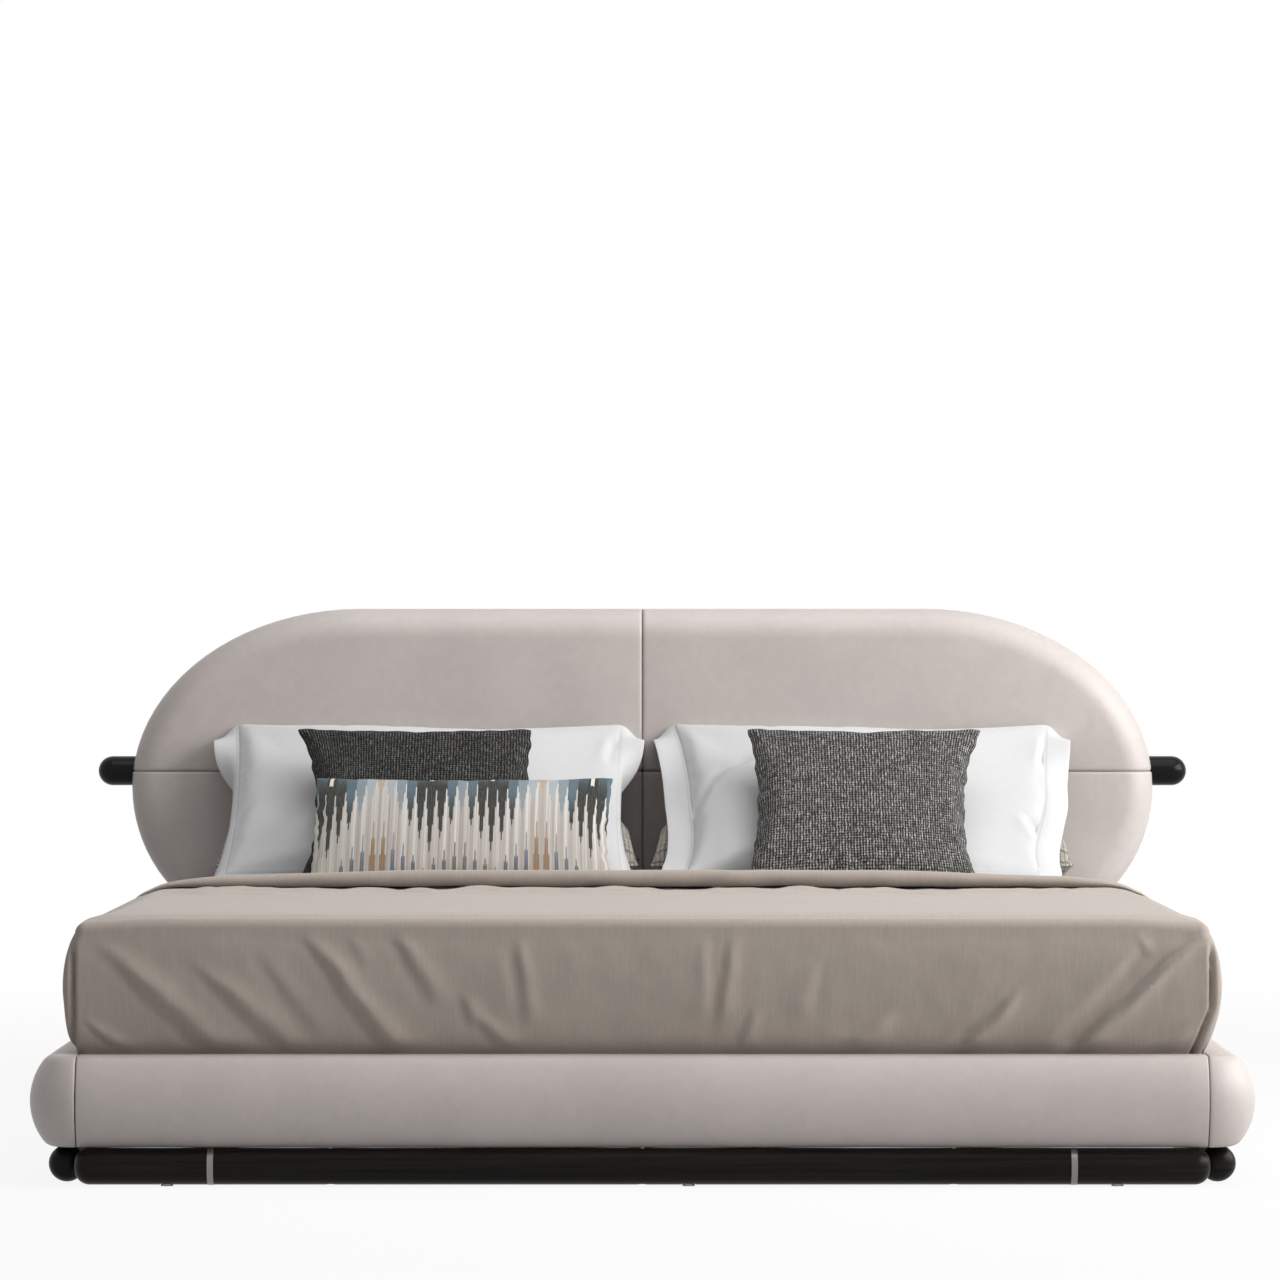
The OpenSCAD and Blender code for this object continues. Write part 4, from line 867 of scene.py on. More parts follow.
def side_hang(z):
    """The same for the cloth on the bed's long sides, which keeps full up to its top edge."""
    return hang_out(z, SIDE_BULGE) + 0.003 * bell(z - SHOULDER_Z, 0.022)


def shoulder_drop(x, y, z):
    """How far the cover rounds down towards its side and foot edges."""
    inside = min(SPREAD_SIDE_X - abs(x), y - SPREAD_FOOT_Y)
    drop = 0.009 * (1 - ease(inside / 0.060))
    far = ease((y - SPREAD_FOOT_Y - 0.03) / 0.30)
    drop += 0.009 * far * (1 - ease((SPREAD_SIDE_X - abs(x)) / 0.085))
    sag = ease((abs(x) - 0.78) / 0.15) * ease((SPREAD_FOOT_Y + 0.20 - y) / 0.20)
    return (drop + 0.006 * sag) * ease((z - 0.36) / 0.07)


# Drag folds on the foot face. Each crest runs from an upper to a lower point, in X and Z, with
# its height and its width. A minus width puts the steep flank on the right instead of the left.
DRAG_FOLDS = [
    ((-0.845, 0.362), (-0.672, 0.217), 0.0088, 0.018),
    ((-0.700, 0.338), (-0.560, 0.222), 0.0070, 0.017),
    ((-0.604, 0.359), (-0.527, 0.258), 0.0030, 0.016),
    ((-0.525, 0.385), (-0.398, 0.226), 0.0085, 0.016),
    ((-0.474, 0.410), (-0.450, 0.365), 0.0014, 0.010),
    ((-0.396, 0.405), (-0.335, 0.312), 0.0052, 0.014),
    ((-0.286, 0.302), (-0.268, 0.264), 0.0040, 0.011),
    ((-0.262, 0.266), (-0.214, 0.222), 0.0050, 0.012),
    ((-0.199, 0.386), (-0.184, 0.282), 0.0042, 0.011),
    ((-0.230, 0.370), (-0.214, 0.290), 0.0020, -0.014),
    ((-0.892, 0.258), (-0.832, 0.214), 0.0055, 0.009),
    ((0.104, 0.393), (0.100, 0.290), 0.0030, -0.011),
    ((0.1465, 0.393), (0.131, 0.276), 0.0045, 0.011),
    ((0.186, 0.275), (0.166, 0.224), 0.0040, 0.011),
    ((0.280, 0.3525), (0.260, 0.2855), 0.0026, -0.014),
    ((0.400, 0.270), (0.350, 0.228), 0.0060, 0.018),
    ((0.600, 0.298), (0.532, 0.224), 0.0105, 0.011),
    ((0.570, 0.330), (0.530, 0.290), 0.0016, -0.012),
    ((0.880, 0.378), (0.716, 0.222), 0.0125, 0.011),
    ((0.800, 0.380), (0.656, 0.238), 0.0100, -0.018),
    ((0.808, 0.408), (0.822, 0.375), 0.0026, 0.009),
    ((0.888, 0.250), (0.846, 0.220), 0.0040, 0.011),
]


def drag_fold(x, z, fold):
    """Height of one fold at a place: its light flank slopes gently, its dark one steeply."""
    (x0, z0), (x1, z1), height, width = fold
    run = Vector((x1 - x0, z1 - z0))
    length = run.length
    ahead = run / length
    place = Vector((x - x0, z - z0))
    along = place.dot(ahead) / length
    fade = ease((along + 0.35) / 0.7) * ease((1.35 - along) / 0.5)
    if fade == 0.0:
        return 0.0
    aside = place.x * ahead.y - place.y * ahead.x
    aside += 0.004 * waver(x * 22.0, z * 22.0, height * 900.0)
    if width < 0:
        aside = -aside
    spread = abs(width) * (0.65 + 0.5 * max(0.0, min(1.2, along)))
    flank = spread * (1.45 if aside < 0 else 0.75)
    dip = 0.40 * bell(aside - 1.5 * spread, 0.8 * spread)
    return height * fade * (bell(aside, flank) - dip)


def corner_groove(x, z):
    """How deep the cloth dips where the foot and side parts meet in a folded corner."""
    middle = CORNER_X
    if x > 0 and z < 0.287:
        middle -= (0.287 - z) * 0.40
    depth = 0.011 * ease((0.415 - z) / 0.05)
    return depth * bell(abs(x) - middle, 0.0042)


def foot_folds(x, bulged_x, z):
    """How far the cloth's folds stand out at the foot, at a place before and after it bulges."""
    share = hang_share(z)
    room = ease(share / 0.10) * ease((1.02 - share) / 0.10)
    fold = sum(drag_fold(bulged_x, z, one) for one in DRAG_FOLDS)
    fold += 0.0022 * waver(x * 8, 1.0, z * 12) + 0.0008 * waver(x * 30, 3.0, z * 24)
    return room * ease((CORNER_X - abs(x)) / 0.03) * max(-0.008, fold)


def top_swell(x, y):
    """How far the top of the cover swells, with its rucks near the turned-down band."""
    swell = 0.0022 * waver(x * 3.2, y * 3.2, 0.0) + 0.0010 * waver(x * 11.0, y * 7.0, 4.0)
    rucks = waver(x * 6.0, y * 9.0, 7.0) + 0.6 * waver(x * 15.0, y * 12.0, 2.0)
    swell += 0.0105 * bell(y - HEM_Y + 0.12, 0.22) * max(-0.3, rucks)
    swell += 0.0024 * waver(x * 26.0, y * 30.0, 9.0) * bell(y - HEM_Y, 0.20)
    inside = ease((0.90 - abs(x)) / 0.10) * ease((y - SPREAD_FOOT_Y - 0.02) / 0.10)
    return inside * (swell - 0.0030 * bell(y - HEM_Y - 0.01, 0.025) - 0.0005)


def hang_spread(bm):
    """Lets the sliced cover hang: bulging sides, drag folds, folded corners, a soft top."""
    bm.normal_update()
    facing = {vert: vert.normal.copy() for vert in bm.verts}
    for vert, normal in facing.items():
        x, y, z = vert.co
        below = ease((SHOULDER_Z + 0.006 - z) / 0.012)
        side_out = side_hang(min(z, SHOULDER_Z)) * below
        # At its left foot corner the cloth bulges out just above the rail
        if x < 0 and y < SPREAD_FOOT_Y + 0.06:
            side_out += 0.008 * ease((z - 0.205) / 0.008) * ease((0.30 - z) / 0.08)
        foot_out = hang_out(min(z, SHOULDER_Z), FOOT_BULGE) * below
        vert.co.x = x * (1 + side_out / SPREAD_SIDE_X)
        vert.co.y -= foot_out * ease((SPREAD_FOOT_Y + 0.25 - y) / 0.20)
        front = ease((-normal.y - 0.25) / 0.5)
        if z < SHOULDER_Z + 0.02 and front > 0:
            vert.co.y -= front * foot_folds(x, vert.co.x, z)
            vert.co.y += front * 0.007 * bell(z - 0.209, 0.016)
        if z < SHOULDER_Z and y < SPREAD_FOOT_Y + 0.05:
            groove = corner_groove(vert.co.x, z)
            vert.co.y += groove
            vert.co.x -= math.copysign(0.35 * groove, x)
        side = ease((abs(normal.x) - 0.4) / 0.4)
        if side > 0 and z < SHOULDER_Z:
            wave = 0.004 * waver(3.0, y * 5.0 + z * 4.0, z * 3.0)
            vert.co.x += math.copysign(wave * side * math.sin(math.pi * hang_share(z)), x)
        vert.co.z += ease((normal.z - 0.5) / 0.4) * top_swell(x, y) - shoulder_drop(x, y, z)


def lay_cloth_map(bm):
    """Maps the cloth in metres as if it lay flat, so that the weave keeps its size."""
    cloth = bm.loops.layers.uv.new("cloth")
    bm.normal_update()
    for face in bm.faces:
        normal = face.normal
        for loop in face.loops:
            x, y, z = loop.vert.co
            drop = SPREAD_TOP_Z - z
            if abs(normal.y) > max(abs(normal.x), abs(normal.z)):
                loop[cloth].uv = (x, SPREAD_FOOT_Y - drop)
            elif abs(normal.x) > abs(normal.z):
                loop[cloth].uv = (math.copysign(abs(x) + drop, x), y)
            else:
                loop[cloth].uv = (x, y)


def make_bedspread():
    bm = bmesh.new()
    rear = HEM_Y + TURN_L
    block(bm, (-SPREAD_SIDE_X, SPREAD_FOOT_Y, TUCK_LOW_Z), (SPREAD_SIDE_X, rear, SPREAD_TOP_Z))
    bm.normal_update()
    opened = [face for face in bm.faces if face.normal.z < -0.9 or face.normal.y > 0.9]
    bmesh.ops.delete(bm, geom=opened, context="FACES")
    round_off(bm, upright_edges(bm), SPREAD_EDGE_R, 8)
    rim = [
        edge for edge in bm.edges
        if lies_at(edge, 2, SPREAD_TOP_Z) and len(edge.link_faces) == 2
    ]
    round_off(bm, rim, SPREAD_EDGE_R, 6)
    slice_evenly(bm, 0, -0.86, 0.86, 0.0060)
    slice_evenly(bm, 0, -0.906, -0.862, 0.0025)
    slice_evenly(bm, 0, 0.862, 0.906, 0.0025)
    slice_evenly(bm, 1, SPREAD_FOOT_Y + 0.04, HEM_Y - 0.30, 0.022)
    slice_evenly(bm, 1, HEM_Y - 0.30, rear, 0.011)
    slice_evenly(bm, 1, SPREAD_FOOT_Y + 0.002, SPREAD_FOOT_Y + 0.04, 0.005)
    slice_evenly(bm, 2, TUCK_LOW_Z, SHOULDER_Z - 0.002, 0.0058)
    hang_spread(bm)
    lay_cloth_map(bm)
    made = piece("linen_bedspread", bm, LINEN, "mattress", "bedspread")
    thicken(made, 0.0025)


# The turned-down band: its full thickness at the sides and on top, how far it hangs, and its
# bend over the bed's edge, whose arc is measured on the outside
BAND_SIDE_T = 0.0163
BAND_TOP_T = 0.0303
BAND_HANG = 0.197
BEND_R = 0.025
BEND_ARC_R = 0.032


def over_bed(share, side_t, top_t):
    """A point of a line over the bed in X and Z, from the right rail (0) to the left one (1)."""
    side = 1 if share < 0.5 else -1
    arc = math.pi / 2 * BEND_ARC_R
    flat = MATTRESS_HALF_W + SHOULDER_OUT - BEND_R
    along = 2 * min(share, 1 - share) * (BAND_HANG + arc + flat)
    if along < BAND_HANG:
        low = TUCK_TOP_Z + 0.001
        z = low + along * (SHOULDER_Z - low) / BAND_HANG
        return side * (SPREAD_SIDE_X + side_hang(z) + side_t), z
    if along < BAND_HANG + arc:
        angle = (along - BAND_HANG) / BEND_ARC_R
        x = flat + (BEND_R + side_t) * math.cos(angle)
        return side * x, SHOULDER_Z + (BEND_R + top_t) * math.sin(angle)
    return side * (BAND_HANG + arc + flat - along), SHOULDER_Z + BEND_R + top_t


def band_share(x, z):
    """Share of the band's full thickness, which is pressed thin where it bends over the sides."""
    if z < SHOULDER_Z:
        return 0.10 + 0.90 * ease((SHOULDER_Z - 0.015 - z) / 0.12)
    return 0.06 + 0.56 * ease((CORNER_X - abs(x)) / 0.17) + 0.38 * ease((0.80 - abs(x)) / 0.42)


# Shares of the band's cloth: the layer below ends at the first and the front edge at the second
LAYER_BELOW, FRONT_EDGE = 0.22, 0.55
FRONT_R = 0.014
LOWEST, HIGHEST = 0.02, 0.97


def band_course(turn, lift):
    """How far back from the front edge, and how high, the band's cloth runs in its fold."""
    if turn < LAYER_BELOW:
        share = turn / LAYER_BELOW
        return 0.055 * (1 - share) + FRONT_R, LOWEST + lift * ease(share)
    if turn < FRONT_EDGE:
        angle = math.pi * (turn - LAYER_BELOW) / (FRONT_EDGE - LAYER_BELOW)
        rise = (HIGHEST - LOWEST - lift) / 2 * (1 - math.cos(angle))
        return FRONT_R * (1 - math.sin(angle)), LOWEST + lift + rise
    rest = (turn - FRONT_EDGE) / (1 - FRONT_EDGE)
    return FRONT_R + (TURN_L - 0.016) * rest, HIGHEST - 0.72 * ease(rest)


def make_turn_down():
    """The upper edge of the cloth turned back over itself, soft and rounded at its front."""
    bm = bmesh.new()
    bmesh.ops.create_grid(bm, x_segments=320, y_segments=28, size=0.5)
    cloth = bm.loops.layers.uv.new("cloth")
    for face in bm.faces:
        for loop in face.loops:
            loop[cloth].uv = (loop.vert.co.x * 2.40, loop.vert.co.y * 0.26)
    for vert in bm.verts:
        share = vert.co.x + 0.5
        turn = vert.co.y + 0.5
        wave = waver(share * 16.0, 2.0, 0.0) + 0.5 * waver(share * 41.0, 5.0, 0.0)
        lift = 0.09 + 0.10 * max(0.0, waver(share * 27.0, 9.0, 0.0))
        back, fill = band_course(turn, lift)
        fill *= (1 + 0.04 * wave) * band_share(*over_bed(share, 0.0, 0.0))
        x, z = over_bed(share, 0.0004 + BAND_SIDE_T * fill, 0.0004 + BAND_TOP_T * fill)
        y = HEM_Y + 0.003 + back + 0.004 * wave * (1 - ease((turn - 0.5) / 0.5))
        vert.co = (x, y, z - shoulder_drop(x, y, z))
    face_out(bm)
    made = piece("linen_turn_down", bm, LINEN, "mattress", "turn_down")
    thicken(made, 0.002)


# Pillows and cushions. Each is sewn flat, blown up by the cloth simulation, brought to its
# size, and then leant back and set down on the bed.


class Bag:
    """A cushion cover: two panels sewn round their edge. flat keeps each point as it was cut."""

    def __init__(self, name, width, height, cells, loft):
        self.name = name
        self.half = (width / 2, height / 2)
        bm = bmesh.new()
        cloth = bm.loops.layers.uv.new("cloth")
        across = max(8, round(width / cells))
        up = max(8, round(height / cells))
        for side in (1, -1):
            made = bmesh.ops.create_grid(bm, x_segments=across, y_segments=up, size=1.0)
            for vert in made["verts"]:
                u, v = vert.co.x, vert.co.y
                lift = side * loft * (1 - u**4) * (1 - v**4)
                vert.co = (u * width / 2, v * height / 2, lift)
                for loop in vert.link_loops:
                    loop[cloth].uv = vert.co.xy
            if side < 0:
                faces = {face for vert in made["verts"] for face in vert.link_faces}
                bmesh.ops.reverse_faces(bm, faces=list(faces))
        bmesh.ops.remove_doubles(bm, verts=bm.verts[:], dist=1e-5)
        self.mesh = to_mesh(name + "_cut", bm)
        self.flat = [vert.co.copy() for vert in self.mesh.vertices]
        self.points = [place.copy() for place in self.flat]

    def share(self, index):
        place = self.flat[index]
        return place.x / self.half[0], place.y / self.half[1]

    def bmesh(self):
        bm = bmesh.new()
        bm.from_mesh(self.mesh)
        bm.verts.ensure_lookup_table()
        for vert, place in zip(bm.verts, self.points):
            vert.co = place
        return bm


def blow_up(bags, frames):
    """Fills all the bags at once with the cloth simulation."""
    scene = bpy.context.scene
    blown = []
    for bag in bags:
        thing = add_object(bag.name + "_bag", bag.mesh)
        cloth = thing.modifiers.new("cloth", "CLOTH")
        settings = cloth.settings
        settings.quality = 6
        settings.mass = 0.25
        settings.tension_stiffness = 18
        settings.compression_stiffness = 18
        settings.shear_stiffness = 6
        settings.bending_stiffness = 0.4
        settings.use_pressure = True
        settings.uniform_pressure_force = 1.0
        settings.effector_weights.gravity = 0.0
        cloth.collision_settings.use_collision = False
        cloth.point_cache.frame_start = 1
        cloth.point_cache.frame_end = frames
        blown.append(thing)
    for step in range(1, frames + 1):
        scene.frame_set(step)
    graph = bpy.context.evaluated_depsgraph_get()
    for bag, thing in zip(bags, blown):
        shaped = thing.evaluated_get(graph).to_mesh()
        bag.points = [vert.co.copy() for vert in shaped.vertices]
        thing.evaluated_get(graph).to_mesh_clear()
    for thing in blown:
        bpy.data.objects.remove(thing)
    scene.frame_set(1)


def trim(bag, width, height, thick, left, right):
    """Brings a filled bag to the size between its corners and to its thickness.

    left and right draw a side edge further in: at half its height, and at its lower end.
    """
    wide = max(abs(point.x) for point in bag.points)
    high = max(abs(point.y) for point in bag.points)
    deep = max(abs(point.z) for point in bag.points)
    for point in bag.points:
        v = point.y / high
        drawn, foot = left if point.x < 0 else right
        share = abs(point.x) / wide
        point.x *= width / 2 / wide * (1 - share * (drawn * (1 - v * v) + foot * ease(0.2 - v)))
        point.y *= height / 2 / high
        point.z *= thick / 2 / deep


def crease(bag, creases):
    """Presses grooves into the front of a bag. Each runs between two places, with its depth."""
    front = [point for point, cut in zip(bag.points, bag.flat) if cut.z > 1e-6]
    for start, end, depth, width in creases:
        start, end = Vector(start), Vector(end)
        run = end - start
        beside = Vector((-run.y, run.x)).normalized()
        for point in front:
            along = (point.xy - start).dot(run) / run.length_squared
            aside = (point.xy - start - run * along).dot(beside)
            fade = ease((along + 0.2) / 0.4) * ease((1.2 - along) / 0.4)
            groove = bell(aside, width) - 0.6 * bell(aside + 1.6 * width, width)
            point.z -= depth * fade * groove


def set_down(bm, node, lean, place_x, place_y, drop):
    """Leans a flat cushion back, and sets it down drop above its node's lowest point."""
    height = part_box(node)[0][2] + drop
    turn = Matrix.Translation((place_x, place_y, height)) @ Matrix.Rotation(lean, 4, "X")
    bmesh.ops.transform(bm, matrix=turn, verts=bm.verts[:])
    for vert in bm.verts:
        vert.co.z = max(vert.co.z, MATTRESS_TOP_Z + 0.0006)


def stuffed(made):
    """Rounds a piece off."""
    finer = made.modifiers.new("rounding", "SUBSURF")
    finer.levels = finer.render_levels = 1


WHITE_LEAN = math.radians(31.0)
GREY_LEAN = math.radians(40.2)
LONG_LEAN = math.radians(34.0)
WHITE_Y = FOOT_Y + 1.84164
GREY_Y = WHITE_Y - 0.150
LONG_Y = FOOT_Y + 1.50093
TWEED_Y = FOOT_Y + 1.9325
TWEED_HEIGHT = 0.046
BORDER = 0.048
SEWN_IN = 0.006
BORDER_STEPS = 6
BORDER_REACH = (BORDER + SEWN_IN) / BORDER_STEPS
# How far the border folds back at its upper tips and along its top edge, in degrees
TIP_CURL, TOP_CURL = 50, 115
# A white pillow's size inside its border, and how far its border reaches down from its middle
WHITE_H, WHITE_T = 0.530, 0.060
WHITE_REACH = 0.288
GREY_SIZE = (0.450, 0.450, 0.080)
LONG_SIZE = (0.560, 0.362, 0.058)
# How far the edge of a woven cushion waves in and out
SCALLOP = 0.0045


def border_bends(v, curl):
    """How far the flat border folds back on a side, and along the top or bottom edge."""
    tip = TIP_CURL * ease((v - 0.80) / 0.20)
    side = curl * ease((v + 1.0) / 0.06) * ease((0.80 - v) / 0.45)
    side *= 1 - 0.35 * ease((-0.1 - v) / 0.7)
    return math.radians(max(tip, side)), math.radians(TOP_CURL) * ease((v - 0.90) / 0.06)


def outward(u, v):
    """Which way the border leaves a place on the seam: off one side, or off both at a corner."""
    out_x = math.copysign(1.0, u) if abs(u) > abs(v) - 0.03 else 0.0
    out_y = math.copysign(1.0, v) if abs(v) > abs(u) - 0.03 else 0.0
    return Vector((out_x, out_y, 0.0))


def border_step(u, v, out, turned, curls):
    """One step of the border outwards, when it has turned by a share of its whole bend."""
    curl = curls[0] if u < 0 else curls[1]
    at_side, at_top = (bend * turned for bend in border_bends(v, curl))
    back = max(abs(out.x) * math.sin(at_side), abs(out.y) * math.sin(at_top))
    step = Vector((out.x * math.cos(at_side), out.y * math.cos(at_top), -back)) * BORDER_REACH
    step.z += 0.0005 * (math.sin(9.0 * u + 2.0 * v) + math.sin(7.0 * v + 3.0 * u))
    return step


def add_border(bm, seam, curls):
    """Sews the flat border on just inside the pillow's seam, and gives it two layers."""
    cloth = bm.loops.layers.uv.verify()
    ring = bmesh.ops.duplicate(bm, geom=seam)["geom"]
    edges = of_kind(ring, EDGE)
    verts = of_kind(ring, VERT)
    half_x = max(vert.co.x for vert in verts)
    low = min(vert.co.y for vert in verts)
    high = max(vert.co.y for vert in verts)
    facts = {}
    flat_place = {}
    for vert in verts:
        u = vert.co.x / half_x
        v = (2 * vert.co.y - low - high) / (high - low)
        out = outward(u, v)
        cut = Vector((out.x or u, out.y or v)) * Vector(WHITE_CUT) / 2
        facts[vert] = (u, v, out)
        vert.co -= out * SEWN_IN
        flat_place[vert] = cut - out.xy * SEWN_IN
    band = []
    for step in range(1, BORDER_STEPS + 1):
        made = bmesh.ops.extrude_edge_only(bm, edges=edges)["geom"]
        edges = of_kind(made, EDGE)
        band += of_kind(made, FACE)
        turned = min(1.0, (step - 0.5) / (BORDER_STEPS - 3))
        outer = {}
        for vert in of_kind(made, VERT):
            beside = (edge.other_vert(vert) for edge in vert.link_edges)
            old = next(other for other in beside if other in facts)
            u, v, out = outer[vert] = facts[old]
            vert.co = old.co + border_step(u, v, out, turned, curls)
            flat_place[vert] = flat_place[old] + out.xy * BORDER_REACH
        facts = outer
    for face in band:
        for loop in face.loops:
            loop[cloth].uv = flat_place[loop.vert]
    bmesh.ops.recalc_face_normals(bm, faces=band)
    bmesh.ops.solidify(bm, geom=band, thickness=0.0024)


def make_white_pillow(bag, name, width, side_x, creases, left, right, curls):
    trim(bag, width, WHITE_H, WHITE_T, left, right)
    for point in bag.points:
        share = point.x / width
        point.z *= 1.45 - 0.85 * ease((share + 0.3) / 0.6) - 0.22 * ease((share - 0.25) / 0.2)
        point.y += 0.026
        point.z -= 0.020 * (1 - min(1.0, (point.y / WHITE_REACH) ** 2))
    crease(bag, creases)
    bm = bag.bmesh()
    rim = {i for i in range(len(bag.flat)) if max(map(abs, bag.share(i))) > 0.9999}
    seam = [edge for edge in bm.edges if all(vert.index in rim for vert in edge.verts)]
    seam += dict.fromkeys(vert for edge in seam for vert in edge.verts)
    add_border(bm, seam, curls)
    drop = WHITE_REACH * math.sin(WHITE_LEAN) + 0.0013
    set_down(bm, name, WHITE_LEAN, side_x, WHITE_Y, drop)
    body = name.replace("_pillow", "")
    stuffed(piece(name + "_case", bm, COTTON, body, name))


def make_cushion(bag, name, finish, size, lean, place, left, right, dents=()):
    width, height, _ = size
    trim(bag, *size, left, right)
    crease(bag, dents)
    for i, point in enumerate(bag.points):
        u, v = bag.share(i)
        scallop = waver(7.0 * u, 7.0 * v, 20.0 * width)
        scallop += waver(15.0 * u, 15.0 * v, 50.0 * width)
        point.x += SCALLOP * scallop * u * ease((abs(u) - 0.8) / 0.2)
        point.y += SCALLOP * scallop * v * ease((abs(v) - 0.8) / 0.2)
    bm = bag.bmesh()
    set_down(bm, name, lean, *place, height / 2 * math.sin(lean) + 0.002)
    body = name.replace("_cushion", "")
    stuffed(piece(name + "_cover", bm, finish, body, name))


def make_tweed_pillow(name, place_x, seed):
    """Lies flat under a white pillow, which presses its middle down and leaves its ends full."""
    bag = Bag(name, 0.800, 0.328, 0.012, 0.02)
    for i, place in enumerate(bag.flat):
        u, v = bag.share(i)
        full = 0.061 + 0.096 * u**4
        past_u = max(0.0, abs(u) - 0.88) / 0.12
        past_v = max(0.0, abs(v) - 0.2) / 0.8
        crown = math.sqrt(max(0.0, 1 - past_u**2)) * math.sqrt(max(0.0, 1 - past_v**2))
        pucker = 0.0016 * waver(u * 14, v * 3, seed) * (1 - v * v)
        top = max(0.0, (full - 0.004) * crown - 0.003 + pucker)
        share = 0.7 if place.z > 0 else -0.3
        lift = top * share if abs(place.z) > 1e-7 else 0.0
        drawn = 1 - 0.03 * (1 - v * v)
        bag.points[i] = Vector((place.x * drawn, place.y * (1 - 0.03 * (1 - u * u)), lift))
    bm = bag.bmesh()
    set_down(bm, name, 0.0, place_x, TWEED_Y, TWEED_HEIGHT)
    low = min(vert.co.z for vert in bm.verts)
    bmesh.ops.translate(bm, verts=bm.verts[:], vec=(0, 0, MATTRESS_TOP_Z + 0.0008 - low))
    made = piece(name + "_cover", bm, CHECK_TWEED, name.replace("_pillow", ""), name)


# Creases in the fronts of the pillows: their two ends, how deep they are and how wide
LEFT_WHITE_CREASES = [
    ((-0.30, -0.17), (-0.20, 0.02), 0.004, 0.022),
    ((0.355, 0.235), (0.345, 0.17), 0.004, 0.008),
]
RIGHT_WHITE_CREASES = [
    ((-0.345, -0.062), (-0.270, 0.100), 0.008, 0.011),
    ((-0.275, 0.095), (-0.215, 0.135), 0.006, 0.012),
    ((0.306, -0.02), (0.345, -0.13), 0.005, 0.009),
    ((0.357, 0.240), (0.345, 0.165), 0.006, 0.007),
    ((-0.245, -0.26), (-0.245, 0.06), -0.014, 0.050),
]
RIGHT_GREY_CREASES = [
    ((-0.215, 0.020), (-0.135, 0.034), 0.007, 0.008),
    ((-0.215, -0.040), (-0.150, -0.046), 0.006, 0.008),
    ((-0.032, -0.150), (-0.036, -0.222), 0.006, 0.008),
    ((0.205, 0.066), (0.160, 0.088), 0.005, 0.008),
]


def make_pillows():
    white_left = Bag("white_left", *WHITE_CUT, 0.0105, 0.012)
    white_right = Bag("white_right", *WHITE_CUT, 0.0110, 0.014)
    grey_left = Bag("grey_left", 0.47, 0.47, 0.0100, 0.010)
    grey_right = Bag("grey_right", 0.475, 0.465, 0.0105, 0.012)
    long_bag = Bag("long", *LONG_CUT, 0.0100, 0.010)
    bags = [white_left, white_right, grey_left, grey_right, long_bag]
    blow_up(bags, 20)
    make_tweed_pillow("tweed_pillow_left", -0.405, 1.0)
    make_tweed_pillow("tweed_pillow_right", 0.4145, 7.0)
    make_white_pillow(
        white_left, "white_pillow_left", 0.742, -0.411, LEFT_WHITE_CREASES,
        (0.0, 0.0), (0.0, 0.0), (100, 100),
    )
    make_white_pillow(
        white_right, "white_pillow_right", 0.724, 0.4205, RIGHT_WHITE_CREASES,
        (0.06, 0.05), (0.01, 0.11), (0, 26),
    )
    # The left cushion's wool is the grey wool darkened: painted shade
    make_cushion(
        grey_left, "grey_cushion_left", SHADED_GREY_WOOL,
        GREY_SIZE, GREY_LEAN, (-0.432, GREY_Y), (0.17, 0.05), (-0.01, 0.0),
    )
    make_cushion(
        grey_right, "grey_cushion_right", GREY_WOOL,
        GREY_SIZE, GREY_LEAN, (0.4225, GREY_Y), (0.04, -0.03), (0.15, 0.07), RIGHT_GREY_CREASES,
    )
    make_cushion(
        long_bag, "long_cushion", IKAT,
        LONG_SIZE, LONG_LEAN, (-0.330, LONG_Y), (0.0, 0.0), (0.03, 0.0),
    )


# Floor, light and camera

AMBIENT = 0.310

# Each soft light's name, place, aim, size and power
LAMPS = [
    ("key_light", (5.0, -3.4, 3.2), (0.0, 0.0, 0.5), 3.0, 225.0),
    ("top_light", (0.5, -0.4, 4.0), (0.0, -0.2, 0.3), 4.0, 92.0),
    ("right_light", (5.0, -0.5, 2.5), (0.0, 0.0, 0.5), 3.0, 215.0),
]

CAMERA_PLACE = (0, -11.62525, 0.867)
# The photo's width, its focal length and the shift of its middle, in its own pixels
PHOTO_SIZE = 1280
PHOTO_FOCUS = 6513.15
PHOTO_SHIFT = (-2.3, 10.0)


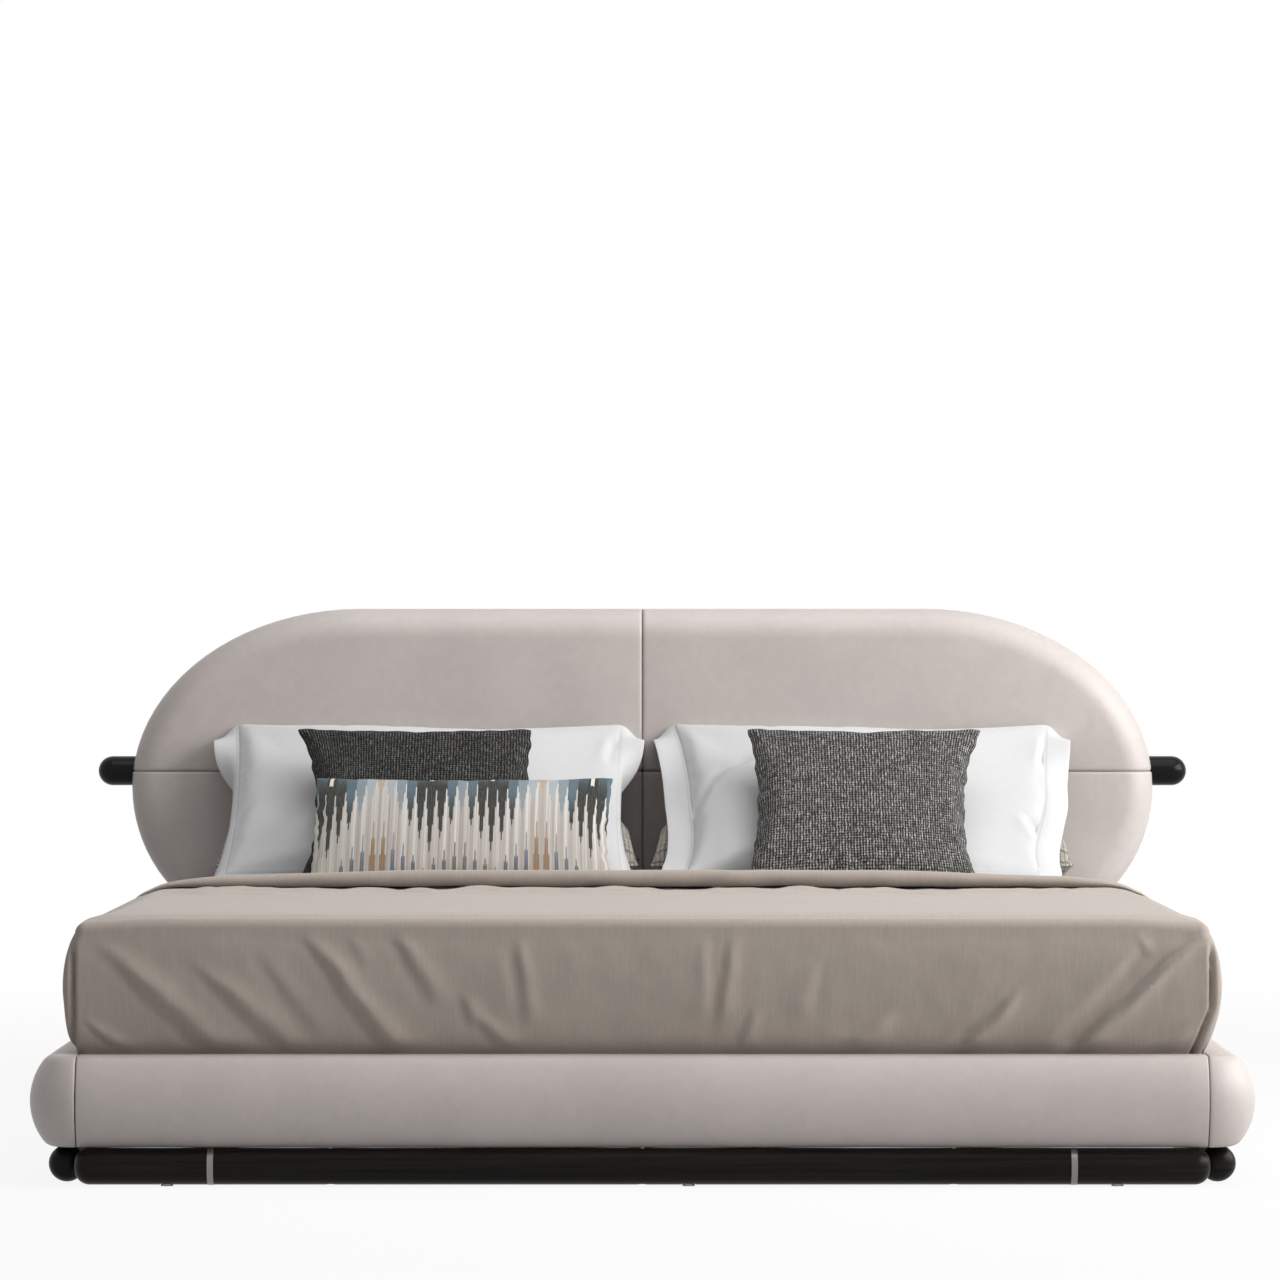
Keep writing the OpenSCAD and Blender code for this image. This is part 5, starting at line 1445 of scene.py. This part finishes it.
def make_floor():
    """Pale floor that turns white towards its far edge and keeps the bed's shadow."""
    paint = Paint("pale_floor")
    x, y, _ = paint.axes(paint.object_place())
    away = (x * x + y * y) ** 0.5
    gray = {"Color": shade(0.60, 0.60, 0.60), "Roughness": 0.0}
    dull = paint.node("ShaderNodeBsdfDiffuse", {}, gray)
    bright = paint.node("ShaderNodeEmission", {}, {"Color": WHITE, "Strength": 1.0})
    share = paint.seen() * (0.90 + 0.10 * away.smooth(2.0, 6.0))
    mixed = paint.node("ShaderNodeMixShader", {}, [share, dull, bright])
    bm = bmesh.new()
    bmesh.ops.create_grid(bm, x_segments=4, y_segments=4, size=60.0)
    mesh = to_mesh("studio_floor", bm)
    mesh.materials.append(paint.finished("Material", mixed))
    add_object("studio_floor", mesh)


def make_world():
    """Even soft light from all round, which the camera sees as plain white."""
    paint = Paint("studio", "worlds")
    soft, white = (
        paint.node("ShaderNodeBackground", {}, {"Color": WHITE, "Strength": strength})
        for strength in (AMBIENT, 1.0)
    )
    mixed = paint.node("ShaderNodeMixShader", {}, [paint.seen(), soft, white])
    bpy.context.scene.world = paint.finished("World", mixed)


def make_lamp(name, place, aim, size, power):
    lamp = bpy.data.lights.new(name, "AREA")
    lamp.shape = "SQUARE"
    lamp.size = size
    lamp.energy = power
    turn = (Vector(aim) - Vector(place)).to_track_quat("-Z", "Y").to_matrix().to_4x4()
    add_object(name, lamp).matrix_world = Matrix.Translation(place) @ turn


def make_camera():
    """The photo's camera, level with the headboard and looking at the foot of the bed."""
    data = bpy.data.cameras.new("front_camera")
    data.sensor_width = 36.0
    data.lens = data.sensor_width * PHOTO_FOCUS / PHOTO_SIZE
    data.shift_x = PHOTO_SHIFT[0] / PHOTO_SIZE
    data.shift_y = PHOTO_SHIFT[1] / PHOTO_SIZE
    data.clip_end = 200.0
    camera = add_object("front_camera", data)
    level = Matrix.Rotation(math.pi / 2, 4, "X")
    camera.matrix_world = Matrix.Translation(CAMERA_PLACE) @ level
    bpy.context.scene.camera = camera


make_camera()
make_floor()
make_world()
for lamp in LAMPS:
    make_lamp(*lamp)

make_foot_rail()
make_side_rail(1, "right")
make_side_rail(-1, "left")
make_headboard()
make_mattress()
make_bedspread()
make_turn_down()
make_pillows()

bpy.context.scene.view_settings.view_transform = "Standard"
